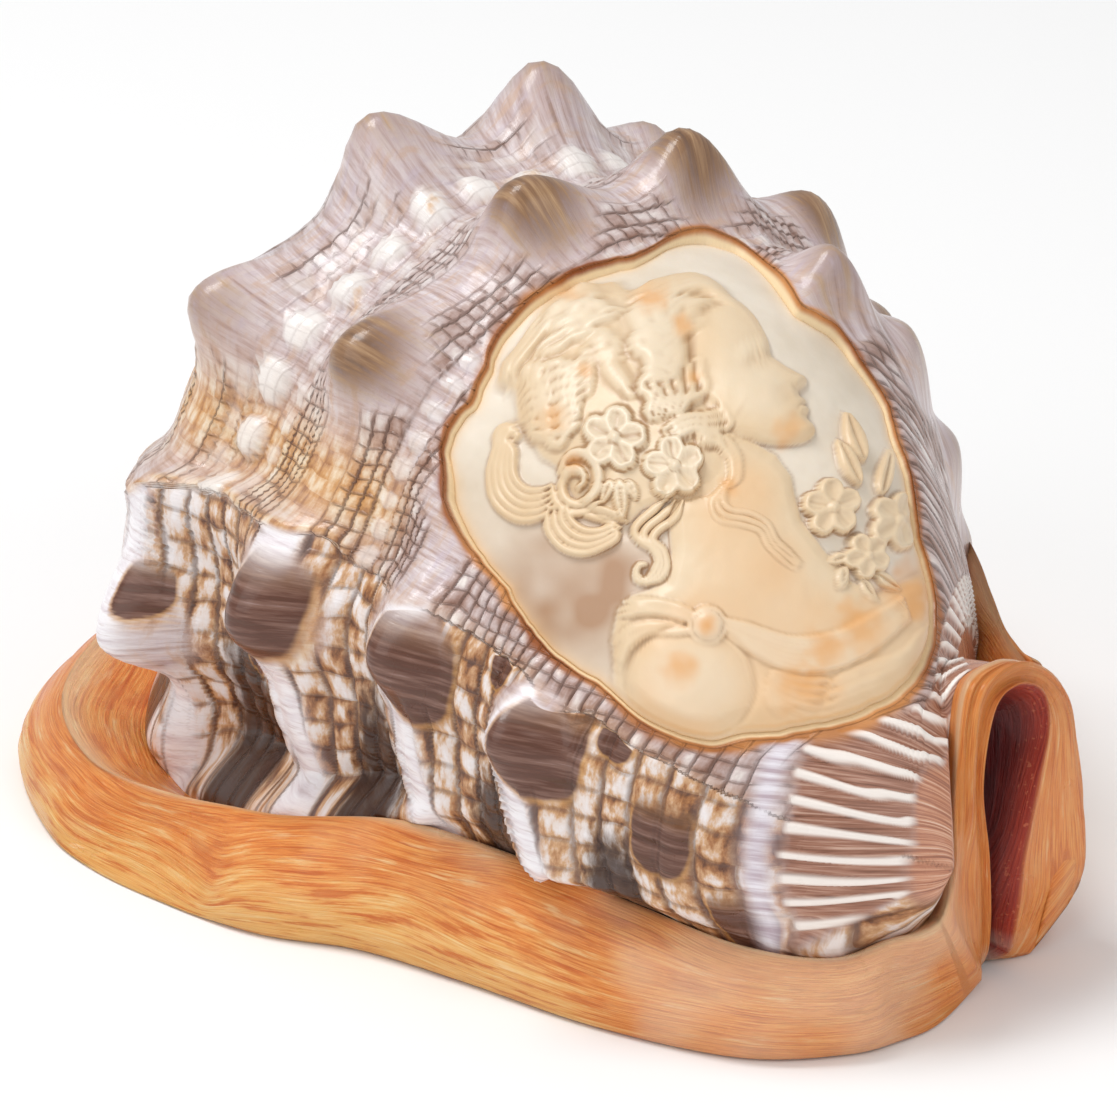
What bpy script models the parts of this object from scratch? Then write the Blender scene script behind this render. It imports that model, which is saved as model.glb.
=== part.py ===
"""A carved helmet shell that rests on its aperture: one closed faceted body in metres.

The coil axis runs along X, with the spire at -X and the siphonal canal at +X. The outer lip faces -Y,
the inner shield faces +Y, and the dome with its rows of knobs is up. The surface is one grid. Its lines
fan out from the middle of the cameo over the dome, go round the lip, across the underside to the edge
of the aperture, into the cavity and up to the middle of its ceiling. All tables are in millimetres.
"""

import math

import bmesh
import bpy
import numpy as np

MM = 0.001

# The body
CORE = np.array([0.0, 8.0, 22.0])
SPIRE_X = -66.0
NOSE_X = 78.0
WALL = 7.0
FLOOR_Z = 9.0

# Cross sections of the body whorl: x, centre y, centre z, half width to the front, half height, to the back
SECTIONS = np.array([
    (-66, 8, 33, 0, 0, 0),
    (-64, 8, 33, 6, 6, 6),
    (-58, 8, 32, 17, 17, 17),
    (-49, 8, 31, 31, 31, 31),
    (-38, 8, 30.5, 40.5, 40, 40.5),
    (-28, 8, 30, 44, 44, 44),
    (-14, 8, 30, 44.5, 44, 44),
    (0, 8, 30, 44.5, 45, 42.5),
    (12, 8, 30, 43, 44, 38),
    (23, 7, 29, 41, 43, 34),
    (34, 5, 28, 38.5, 40, 30.5),
    (45, 3, 27, 35, 35, 26.5),
    (54, 2, 26, 31.5, 29, 20),
    (62, 1, 24, 26, 22, 15),
    (68, 1, 23, 19.5, 16, 11),
    (74, 1, 22, 10, 9, 7),
    (78, 1, 21, 0, 0, 0),
], float)

# Rows of knobs: x, ridge height, ridge width, length and breadth of the knobs, then the angle in degrees
# and the height of each knob. An angle of 0 points to the front lip and 90 points up.
ROWS = (
    (-28, 2.2, 6.0, 8.2, 7.0,
     ((-6, 8.8), (40.5, 8.5), (73, 9.4), (99.5, 9.8), (121, 4.6), (148, 3), (174, 3), (202, 3))),
    (0, 2.2, 6.0, 8.0, 7.5,
     ((6, 6.8), (44, 6.8), (75.5, 7.2), (101.6, 8.2), (127, 5.6), (152, 3.4), (176, 3.4), (202, 2.5))),
    (22, 1.8, 5.0, 7.0, 7.0,
     ((10, 5), (35, 5), (62, 5), (88, 5), (112, 5.4), (134, 3.8), (158, 3.5), (178, 3.5))),
)
FRONT_ROW = (43, 2.2, 4.5, 6.0, 6.0, ((9, 3.5),))
RIB_GAIN = 0.8
RIB_LEAN = 5.0

# Shares of a knob's breadth on its lower and upper side
STEEP_SIDE = 0.64
GENTLE_SIDE = 1.08

# Old growth stop: a step across the front of the rows, steep above and gentle below, lower at the spire
STEP_ANGLE = 19.0
STEP_DROP = 4.5
STEP_HEIGHT = 3.8
STEP_ABOVE = 2.4
STEP_BELOW = 7.0

# Spiral seam of the spire
SEAM_DEPTH = 1.6
SEAM_TURNS = 2.6

# Lip stations, counter-clockwise seen from below. Each holds the outline on the ground, the free edge,
# the edge of the aperture, how far the groove lies inside the free edge, and how far below it.
STATIONS = np.array([
    # Front lip, from the nose to the spire
    (71.9, 7.8, 0, 75.3, 1.5, 12.5, 63.5, 11.6, 2, 3, 0.5),
    (75.5, 1, 0, 75.5, -1.5, 12, 61, 9.5, 2, 2.5, 0.5),
    (76.2, -4.5, 0, 75.2, -5, 12, 58.5, 7.2, 2, 2.5, 0.5),
    (75.4, -12, 0, 73.6, -12.6, 11, 54, 3.5, 2, 2.5, 0.5),
    (69, -22.5, 0, 66, -20.5, 12, 46, -2.5, 2, 2.5, 0.5),
    (53.3, -31.4, 0, 52, -26, 13.5, 38, -7.5, 2, 2, 0.5),
    (34.5, -37.5, 0, 34, -32.5, 15, 26, -14.5, 2, 2, 0.5),
    (20.7, -42.7, 0, 20, -38, 15, 14, -20.5, 2, 2, 0.5),
    (8.4, -51, 0, 5, -45, 12, 2, -26, 2, 4, 2),
    (-13.5, -56.7, 0, -12, -49, 9.5, -12, -29.5, 2, 8, 4),
    (-30, -55, 0, -27, -50.5, 8.5, -25, -31, 2, 11, 4.5),
    (-48.8, -46.5, 0, -46, -43, 8.5, -37, -29, 2, 11, 4),
    # Spire end
    (-61, -31, 0, -58.5, -28, 10, -46, -24.5, 2.5, 10, 4),
    (-66, -10, 0, -63.5, -10, 12, -50, -19, 3, 9, 4),
    (-65, 14, 0, -62.5, 13, 15, -46, -13.5, 3, 9, 4),
    (-56, 34, 0, -54, 34, 19, -38, -14, 2.5, 9, 6),
    # Shield at the back
    (-38, 44, 0, -38, 49, 23, -26, -16, 2, 9, 7),
    (-16, 46, 0, -16, 55, 27, -14, -14.5, 2, 9, 7),
    (6, 45, 0, 6, 53, 30, 0, -9.5, 2, 9, 7),
    (26, 42, 0, 24, 45.5, 31.5, 14, -4.5, 2, 8, 7),
    (44, 37, 0, 41, 35.5, 33, 28, 2, 2, 7, 7),
    (55, 32, 0, 52, 29, 34, 42, 7.5, 2, 6, 7),
    (62.5, 28, 0, 58.5, 26.5, 34, 56, 13, 2, 5, 8),
    # Scroll, arch and left wall of the canal
    (67, 21.5, 0, 60.5, 27.5, 33, 66.5, 16, 2, 4, 8),
    (66, 29.3, 6, 61.5, 27.5, 32, 69, 15.8, 7, 4, 8),
    (66.3, 29.8, 13, 62.8, 27.2, 31.5, 69.4, 16.4, 15, 3.5, 6),
    (67.2, 27.5, 23, 64.3, 25.8, 34, 69, 18.8, 23.5, 3, 5),
    (67.9, 25.5, 31, 65.6, 23.5, 36, 68.5, 20.6, 30, 2.5, 3),
    (68.8, 21, 36.6, 66.8, 20, 38, 68.7, 19.5, 34.5, 2.5, 1.5),
    (70, 15.5, 38.8, 68.8, 14.5, 40, 69.8, 15.2, 36.8, 2.5, 1),
    (71.6, 10, 37, 71, 8.3, 39, 71, 11, 35.3, 2.5, 0.5),
    (72.6, 8, 28, 73.3, 5.2, 31, 71.8, 8.9, 27, 2.5, 0.5),
    (71.6, 9.9, 17, 74.4, 4, 21.5, 70.6, 11, 17, 2.5, 0.5),
    (69.8, 11.8, 6.5, 75, 3.2, 16, 68.6, 13, 7, 2.5, 0.5),
    (68.6, 12.8, 0, 75.2, 2.5, 13.5, 66.8, 13.4, 2, 3, 0.5),
], float)
RIM_THICKNESS = 2.0
LIP_BULGE = 1.8
SCROLL_BULGE = 0.2
CONTACT_BAND = 5.0

# Aperture teeth, and the throat of the canal behind its opening
TOOTH = 1.0
THROAT_RISE = 6.0
CANAL_MOUTH = np.array([70.0, 14.5, 26.0])
CANAL_THROAT = np.array([58.0, 6.0, 22.0])
CANAL_NARROWING = 0.6

# The cameo: its middle, the directions to its right and its top, and its outline as angle and radius
# on a plane 60 mm from the core
CAMEO_MIDDLE = np.array([47.0, -21.0, 40.0])
CAMEO_RIGHT = np.array([0.471, 0.877, -0.093])
CAMEO_PLANE = 60.0
CAMEO_OUTLINE = np.array([
    (0, 33), (24, 38), (40, 45), (52, 48), (61, 45), (67, 55), (75, 70), (82, 70), (88, 60), (95, 51),
    (106, 49), (118, 47), (135, 41), (147, 38), (160, 39.5), (174, 36), (193, 29.5), (207, 26.5), (246, 26),
    (265, 29), (281, 28.7), (293, 29.5), (311, 32.5), (332, 36), (343, 36),
], float)
CAMEO_DEPTH = 1.0

# The carver levelled the ornament round the cameo: the share left at the rim, and how far out this reaches
RIM_ORNAMENT = 0.25
RIM_REACH = 9.0

# Carved forms: middle right, middle up, half length, half breadth, tilt in degrees, height
CARVING = (
    # Hair behind and above the head
    (-14, 12, 16, 11, 60, 1.7),
    (-6, 24, 14, 9, 20, 1.5),
    # Head and neck
    (2, 12, 13, 8, 55, 2.2),
    (6, 1, 11, 5, 75, 1.6),
    # Flowers in the hair
    (-9, 7, 4.5, 4.5, 0, 1.6),
    (-2, 3, 4.5, 4.5, 0, 1.6),
    (-14, 31, 5.5, 5.5, 0, 1.3),
    # Shoulder, sleeve and drapery
    (1, -14, 13, 5, -8, 1.8),
    (-1, -21, 7.5, 6.5, 0, 2.4),
    (14, -16, 11, 5, 15, 1.6),
    # Sprig in front of the throat
    (16, -1, 4.5, 4.5, 0, 1.5),
    (26, -2, 4.5, 4.5, 0, 1.4),
    (21, 8, 8, 4, 70, 1.2),
    (20, -8, 5, 4, 0, 1.3),
)

# Grid
LINES = 88
CAMEO_RINGS = 7
DOME_RINGS = 27
CEILING_RINGS = 7
BISECTIONS = 30
TURN_SHARE = 0.17


def smooth(t):
    t = np.clip(t, 0.0, 1.0)
    return t * t * (3 - 2 * t)


def unit(v):
    return v / np.maximum(np.linalg.norm(v, axis=-1, keepdims=True), 1e-9)


def wrapped(angle):
    return (angle + math.pi) % (2 * math.pi) - math.pi


def curve(x, xs, ys):
    """Smooth curve through the points (xs, ys) at x."""
    step = np.diff(xs)
    slope = np.diff(ys) / step
    tangent = np.zeros(len(xs))
    tangent[1:-1] = (slope[:-1] * step[1:] + slope[1:] * step[:-1]) / (step[:-1] + step[1:])
    tangent[0] = 1.5 * slope[0] - 0.5 * tangent[1]
    tangent[-1] = 1.5 * slope[-1] - 0.5 * tangent[-2]
    i = np.clip(np.searchsorted(xs, x) - 1, 0, len(xs) - 2)
    t = np.clip((x - xs[i]) / step[i], 0, 1)
    start = ys[i] * (1 + 2 * t) * (1 - t) ** 2 + tangent[i] * step[i] * t * (1 - t) ** 2
    end = ys[i + 1] * t * t * (3 - 2 * t) + tangent[i + 1] * step[i] * t * t * (t - 1)
    return start + end


def closed_curve(u, table):
    """Smooth closed curve through the rows of a table; u counts rows."""
    i = np.floor(u).astype(int)
    t = (u - i)[..., None]
    a, b, c, d = (table[(i + k) % len(table)] for k in (-1, 0, 1, 2))
    return 0.5 * (2 * b + (c - a) * t + (2 * a - 5 * b + 4 * c - d) * t ** 2 + (3 * b - a - 3 * c + d) * t ** 3)


def front_weight(angle):
    """1 on the front below the growth stop, where the rows turn into ribs."""
    return 1 - smooth((np.abs(np.degrees(angle) + 10) - 20) / 20)


def row_height(x, angle, reach, row, gain):
    x0, ridge, ridge_width, length, breadth, knobs = row
    front = front_weight(angle)
    along = x - x0 - RIB_LEAN * front * smooth((5 - np.degrees(angle)) / 40)
    height = gain * ridge * (1 + RIB_GAIN * front) * np.exp(-((along / ridge_width) ** 2))
    for degrees, knob in knobs:
        across = reach * wrapped(angle - math.radians(degrees))
        across = across / np.where(across < 0, STEEP_SIDE, GENTLE_SIDE)
        height = height + knob * np.exp(-((along / length) ** 2) - (across / breadth) ** 2)
    return height


def ornament(x, angle, reach):
    """Height of rows, knobs, growth stop and spire seam above the smooth body."""
    height = sum(row_height(x, angle, reach, row, 1.0) for row in ROWS)
    height = height + row_height(x, angle, reach, FRONT_ROW, front_weight(angle))
    stop = STEP_ANGLE - STEP_DROP * (1 - smooth((x + 32) / 25))
    past_step = reach * (angle - np.radians(stop))
    past_step = past_step / np.where(past_step > 0, STEP_ABOVE, STEP_BELOW)
    height = height + STEP_HEIGHT * np.exp(-(past_step ** 2)) * (1 - smooth((x + 15) / 20)) * smooth((x + 45) / 10)
    turn = (x - SPIRE_X) / (-36 - SPIRE_X) * SEAM_TURNS - angle / (2 * math.pi)
    seam = np.exp(-((wrapped(2 * math.pi * turn) / 0.55) ** 2))
    return height - SEAM_DEPTH * seam * (1 - smooth((x + 42) / 6))


def outside(points, shrink, plain):
    """Distance from the body surface in its cross section, positive outside. Shrink takes a wall off."""
    x = points[..., 0]
    centre_y, centre_z, front, top, back = (curve(x, SECTIONS[:, 0], SECTIONS[:, k]) for k in (1, 2, 3, 4, 5))
    y = points[..., 1] - centre_y
    z = points[..., 2] - centre_z
    angle = np.arctan2(z, -y)
    side = np.maximum(np.where(np.abs(angle) < math.pi / 2, front, back), 1e-3)
    top = np.maximum(top, 1e-3)
    reach = side * top / np.hypot(top * np.cos(angle), side * np.sin(angle))
    body = reach - shrink
    if not plain:
        body = body + ornament(x, angle, reach) * smooth(reach / 20)
    gap = np.hypot(y, z) - np.maximum(body, 0)
    return np.where((x < SPIRE_X + shrink) | (x > NOSE_X - shrink), 1.0, gap)


def cast(directions, shrink=0.0, plain=False):
    """Distance from the core to the body surface along each direction. Plain leaves the ornament off."""
    near = np.zeros(directions.shape[:-1])
    far = np.full(directions.shape[:-1], 110.0)
    for _ in range(BISECTIONS):
        middle = (near + far) / 2
        out = outside(CORE + directions * middle[..., None], shrink, plain) > 0
        far = np.where(out, middle, far)
        near = np.where(out, near, middle)
    return (near + far) / 2


def cameo_axes():
    ahead = unit(CAMEO_MIDDLE)
    right = unit(CAMEO_RIGHT - (CAMEO_RIGHT @ ahead) * ahead)
    return ahead, right, np.cross(ahead, right)


def polar(directions):
    """Angle from the cameo's middle and direction round it, the second counted from its right."""
    ahead, right, up = cameo_axes()
    return np.arccos(np.clip(directions @ ahead, -1, 1)), np.arctan2(directions @ up, directions @ right)


def from_polar(away, around):
    ahead, right, up = cameo_axes()
    flat = np.cos(around)[..., None] * right + np.sin(around)[..., None] * up
    return np.cos(away)[..., None] * ahead + np.sin(away)[..., None] * flat


def carving_height(away, around):
    """Height of the relief above the cameo's ground."""
    radius = CAMEO_PLANE * np.tan(away)
    right = radius * np.cos(around)
    up = radius * np.sin(around)
    height = np.zeros_like(right)
    for middle_right, middle_up, length, breadth, tilt, rise in CARVING:
        c = math.cos(math.radians(tilt))
        s = math.sin(math.radians(tilt))
        dx = right - middle_right
        dy = up - middle_up
        inside = 1 - ((c * dx + s * dy) / length) ** 2 - ((c * dy - s * dx) / breadth) ** 2
        height = np.maximum(height, rise * smooth(1.6 * inside))
    return height


def rails(u):
    """Outline on the ground, free edge, aperture edge and groove at the stations u."""
    row = closed_curve(u, STATIONS)
    ground, edge, aperture = row[:, 0:3].copy(), row[:, 3:6], row[:, 6:9]
    ground[:, 2] = np.maximum(ground[:, 2], 0)
    inward = unit((CORE - edge) * np.array([1, 1, 0.15]))
    groove = edge + inward * row[:, 9:10]
    groove[:, 2] -= row[:, 10]
    return ground, edge, aperture, groove


def steady_round(around):
    """Directions round the cameo that never turn back, close to the ones given."""
    sense = np.sign(around[-1] - around[0])
    steps = np.diff(np.append(around, around[0] + sense * 2 * math.pi)) * sense
    steps = np.maximum(steps, 0.2 * 2 * math.pi / len(around))
    steps *= 2 * math.pi / steps.sum()
    steady = around[0] + sense * np.concatenate([[0], np.cumsum(steps)[:-1]])
    return steady + (around - steady).mean()


def line_stations():
    """Stations of the grid lines, even both along the lip and round the cameo."""
    u = np.linspace(0, len(STATIONS), 2001)
    ground, edge, aperture, groove = rails(u)
    lip = np.linalg.norm(np.diff((edge + aperture) / 2, axis=0), axis=1)
    turn = np.abs(np.diff(np.unwrap(polar(unit(groove - CORE))[1])))
    measure = np.concatenate([[0], np.cumsum((1 - TURN_SHARE) * lip / lip.sum() + TURN_SHARE * turn / turn.sum())])
    return np.interp(np.arange(LINES) / LINES * measure[-1], measure, u)


def between(start, end, shares):
    return [start + (end - start) * share for share in shares]


def dome_rings(groove):
    """Rings from the cameo out to the groove."""
    away_end, around_end = polar(unit(groove - CORE))
    around_end = np.unwrap(around_end)
    steady = steady_round(around_end)
    degrees = np.degrees(steady) % 360
    angles = np.append(CAMEO_OUTLINE[:, 0], 360)
    radii = np.append(CAMEO_OUTLINE[:, 1], CAMEO_OUTLINE[0, 1])
    rim = np.arctan(np.interp(degrees, angles, radii) / CAMEO_PLANE)
    rings = []
    for k in range(1, CAMEO_RINGS + 1):
        away = rim * (k / CAMEO_RINGS) * 0.985
        directions = from_polar(away, steady)
        sink = CAMEO_DEPTH - carving_height(away, steady) * smooth((1 - k / CAMEO_RINGS) * 4)
        rings.append(CORE + directions * (cast(directions, plain=True) - sink)[:, None])
    reach_end = np.linalg.norm(groove - CORE, axis=1)
    for k in range(DOME_RINGS + 1):
        share = k / DOME_RINGS
        away = rim + (away_end - rim) * share
        around = steady + (around_end - steady) * smooth((share - 0.4) / 0.6)
        directions = from_polar(away, around)
        plain = cast(directions, plain=True)
        left = RIM_ORNAMENT + (1 - RIM_ORNAMENT) * smooth((away - rim) * CAMEO_PLANE / RIM_REACH)
        reach = plain + (cast(directions) - plain) * left
        last = cast(from_polar(away_end, around_end))
        reach = reach + (reach_end - last) * smooth((share - 0.8) / 0.2)
        rings.append(CORE + directions * reach[:, None])
    return rings


def lip_rings(ground, edge, groove):
    """Rings from the groove over the free edge and down the face of the lip to the ground."""
    along = unit(np.roll(edge + ground, -1, 0) - np.roll(edge + ground, 1, 0))
    outward = unit(np.cross(edge - ground, along))
    side = np.sign(((ground + edge) / 2 - CORE * np.array([1, 1, 0.5])) * outward).sum(axis=1)
    outward *= np.sign(side)[:, None]
    crest = edge + unit(groove - edge) * RIM_THICKNESS * 0.6
    crest[:, 2] += 0.4
    rings = [crest, edge - outward * 0.2]
    swell = outward * LIP_BULGE * (1 - (1 - SCROLL_BULGE) * smooth(ground[:, 2:] / 10))
    for share, bulge in ((0.25, 0.8), (0.55, 1.0), (0.85, 0.7)):
        rings.append(edge + (ground - edge) * share + swell * bulge)
    rings.append(ground)
    return rings


def underside_rings(ground, aperture):
    """Flat contact band, face of the underside and toothed edge of the aperture."""
    span = aperture - ground
    width = np.minimum(CONTACT_BAND / np.linalg.norm(span, axis=1), 0.35)[:, None]
    raised = smooth(ground[:, 2:] / 4)
    band = ground + span * width * np.array([1, 1, 0]) + span * width * raised * np.array([0, 0, 1])
    middle = band + (aperture - band) * 0.55
    middle[:, 2] = band[:, 2] + (aperture[:, 2] - band[:, 2]) * 0.3
    toothed = 1 - smooth((aperture[:, 2] - 3) / 3)
    sign = np.where(np.arange(LINES) % 2 == 0, 1.0, -1.0)
    to_gap = unit((aperture - band) * np.array([1, 1, 0]))
    return [band, middle, aperture + to_gap * (TOOTH * toothed * sign)[:, None]]


def throat_rings(aperture, groove):
    """Throat behind the aperture edge and the foot of the cavity's wall."""
    canal = smooth((aperture[:, :1] - 48) / 16)
    straight = aperture + np.array([0, 0, THROAT_RISE])
    bent = CANAL_THROAT + (aperture - CANAL_MOUTH) * CANAL_NARROWING
    throat = straight + (bent - straight) * canal
    foot = CORE + (groove - CORE) * 0.84
    foot[:, 2] = FLOOR_Z
    wide = throat + (throat - CANAL_THROAT) * 0.25
    foot = foot + (wide - foot) * smooth(canal * 1.15)
    direction = unit(foot - CORE)
    allowed = cast(direction, WALL, True)
    foot = CORE + direction * np.minimum(np.linalg.norm(foot - CORE, axis=1), allowed)[:, None]
    return [throat] + between(throat, foot, (0.5, 1.0))


def ceiling_rings(foot):
    """Rings up the inside of the dome to the middle of its ceiling."""
    away_start, around_start = polar(unit(foot - CORE))
    around_start = np.unwrap(around_start)
    steady = steady_round(around_start)
    reach_start = np.linalg.norm(foot - CORE, axis=1)
    first = cast(unit(foot - CORE), WALL, True)
    rings = []
    for k in range(1, CEILING_RINGS):
        share = k / CEILING_RINGS
        away = away_start * (1 - share)
        around = around_start + (steady - around_start) * smooth(share * 2)
        directions = from_polar(away, around)
        reach = cast(directions, WALL, True)
        reach = reach + (reach_start - first) * (1 - smooth(share * 2.5))
        rings.append(CORE + directions * reach[:, None])
    return rings


def shell_grid():
    """All rings of the shell, from the cameo's first to the ceiling's last, and the two end points."""
    ground, edge, aperture, groove = rails(line_stations())
    rings = dome_rings(groove)
    rings += lip_rings(ground, edge, groove)
    rings += underside_rings(ground, aperture)
    inner = throat_rings(aperture, groove)
    rings += inner
    rings += ceiling_rings(inner[-1])
    ahead = cameo_axes()[0]
    middle_height = carving_height(np.zeros(1), np.zeros(1))[0] - CAMEO_DEPTH
    start = CORE + ahead * (cast(ahead[None], plain=True)[0] + middle_height)
    end = CORE + ahead * cast(ahead[None], WALL, True)[0]
    return rings, start, end


def centred(rings, start, end):
    """Moves the shell so that the middle of its box is over the origin and its lowest points are at 0."""
    points = np.concatenate(rings)
    shift = (points.min(axis=0) + points.max(axis=0)) / 2
    shift[2] = points[:, 2].min()
    return [ring - shift for ring in rings], start - shift, end - shift


def build_mesh(rings, start, end):
    mesh = bmesh.new()
    rows = [[mesh.verts.new(point * MM) for point in ring] for ring in rings]
    first = mesh.verts.new(start * MM)
    last = mesh.verts.new(end * MM)
    for i in range(LINES):
        j = (i + 1) % LINES
        mesh.faces.new((first, rows[0][j], rows[0][i]))
        mesh.faces.new((last, rows[-1][i], rows[-1][j]))
        for upper, lower in zip(rows[:-1], rows[1:]):
            mesh.faces.new((upper[i], upper[j], lower[j], lower[i]))
    bmesh.ops.recalc_face_normals(mesh, faces=mesh.faces)
    bmesh.ops.triangulate(mesh, faces=mesh.faces)
    return mesh


def shell_material():
    material = bpy.data.materials.new("shell")
    material.use_nodes = True
    surface = material.node_tree.nodes["Principled BSDF"]
    surface.inputs["Base Color"].default_value = (0.72, 0.55, 0.42, 1)
    surface.inputs["Roughness"].default_value = 0.35
    return material


def main():
    for thing in list(bpy.data.objects):
        bpy.data.objects.remove(thing)
    mesh = build_mesh(*centred(*shell_grid()))
    data = bpy.data.meshes.new("shell")
    mesh.to_mesh(data)
    mesh.free()
    data.materials.append(shell_material())
    shell = bpy.data.objects.new("shell", data)
    bpy.context.scene.collection.objects.link(shell)


main()
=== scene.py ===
"""Looks of the carved helmet shell: body, lip and cameo, with materials, studio light and camera.

The coil axis runs along X, with the spire at -X and the canal at +X. The outer lip faces -Y and the
dome is up. Shapes are worked out in millimetres in the frame of the coil, and SHIFT takes them to the
frame of the CAD, whose origin is under the middle of its box.
"""

import math

import bpy
import numpy as np
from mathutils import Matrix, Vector


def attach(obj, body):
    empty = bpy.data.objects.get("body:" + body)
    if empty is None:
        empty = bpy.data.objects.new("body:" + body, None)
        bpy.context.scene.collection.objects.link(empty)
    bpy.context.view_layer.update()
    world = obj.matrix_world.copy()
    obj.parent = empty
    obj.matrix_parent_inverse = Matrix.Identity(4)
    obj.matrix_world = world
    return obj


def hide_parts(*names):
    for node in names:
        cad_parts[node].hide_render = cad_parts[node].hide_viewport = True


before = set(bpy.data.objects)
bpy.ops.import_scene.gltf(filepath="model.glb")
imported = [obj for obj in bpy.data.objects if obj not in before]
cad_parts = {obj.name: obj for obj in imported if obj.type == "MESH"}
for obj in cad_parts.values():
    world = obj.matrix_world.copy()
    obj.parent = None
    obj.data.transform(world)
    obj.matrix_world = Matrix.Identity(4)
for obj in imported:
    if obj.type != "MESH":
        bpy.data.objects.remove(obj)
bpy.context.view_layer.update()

MM = 0.001
SHIFT = np.array([5.336, -0.19, 0.0])

# The body. CORE is the point that every surface is cast from, and FLOOR_Z is the floor of the cavity.
# Angles round the coil run from the front over the top, and start LOWEST_ANGLE below the front.
CORE = np.array([0.0, 8.0, 22.0])
SPIRE_X = -66.0
NOSE_X = 78.0
WALL = 7.0
FLOOR_Z = 9.0
LOWEST_ANGLE = math.radians(100)

# Cross sections of the body whorl: x, centre y, centre z, half width to the front, half height, to the back
SECTIONS = np.array([
    (-66, 8, 33, 0, 0, 0),
    (-64, 8, 33, 6, 6, 6),
    (-58, 8, 32, 17, 17, 17),
    (-49, 8, 31, 31, 31, 31),
    (-38, 8, 30.5, 40.5, 40, 40.5),
    (-28, 8, 30, 44, 44, 44),
    (-14, 8, 30, 44.5, 44, 44),
    (0, 8, 30, 44.5, 45, 42.5),
    (12, 8, 30, 43, 44, 38),
    (23, 7, 29, 41, 43, 34),
    (34, 5, 28, 38.5, 40, 30.5),
    (45, 3, 27, 35, 35, 26.5),
    (54, 2, 26, 31.5, 29, 20),
    (62, 1, 24, 26, 22, 15),
    (68, 1, 23, 19.5, 16, 11),
    (74, 1, 22, 10, 9, 7),
    (78, 1, 21, 0, 0, 0),
], float)

# Rows of knobs: x, ridge height, ridge width, length and breadth of the knobs, angle and height of each,
# and how strong their brown caps are
ROWS = (
    (-28, 2.2, 6.0, 8.2, 7.0,
     ((-6, 8.8), (40.5, 8.5), (73, 9.4), (99.5, 9.8), (121, 4.6), (148, 3), (174, 3), (202, 3)), 0.6),
    (0, 2.2, 6.0, 8.0, 7.5,
     ((6, 6.8), (44, 6.8), (75.5, 7.2), (101.6, 8.2), (127, 5.6), (152, 3.4), (176, 3.4), (202, 2.5)), 1.0),
    (22, 1.8, 5.0, 7.0, 7.0,
     ((10, 5), (35, 5), (62, 5), (88, 5), (112, 5.4), (134, 3.8), (158, 3.5), (178, 3.5)), 0.6),
)
FRONT_ROW = (43, 2.2, 4.5, 6.0, 6.0, ((9, 3.5),), 0.5)
# Ribs on the front: extra height as a share, and lean towards the canal
RIB_GAIN = 0.8
RIB_LEAN = 5.0
# Breadth of a knob's lower and upper side, as shares
STEEP_SIDE = 0.64
GENTLE_SIDE = 1.08
# The old growth stop: its angle, how far that drops towards the spire, height, and reach above and below
STEP_ANGLE = 19.0
STEP_DROP = 4.5
STEP_HEIGHT = 3.8
STEP_ABOVE = 2.4
STEP_BELOW = 7.0
# The spire's spiral seam
SEAM_DEPTH = 1.6
SEAM_TURNS = 2.6

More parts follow.
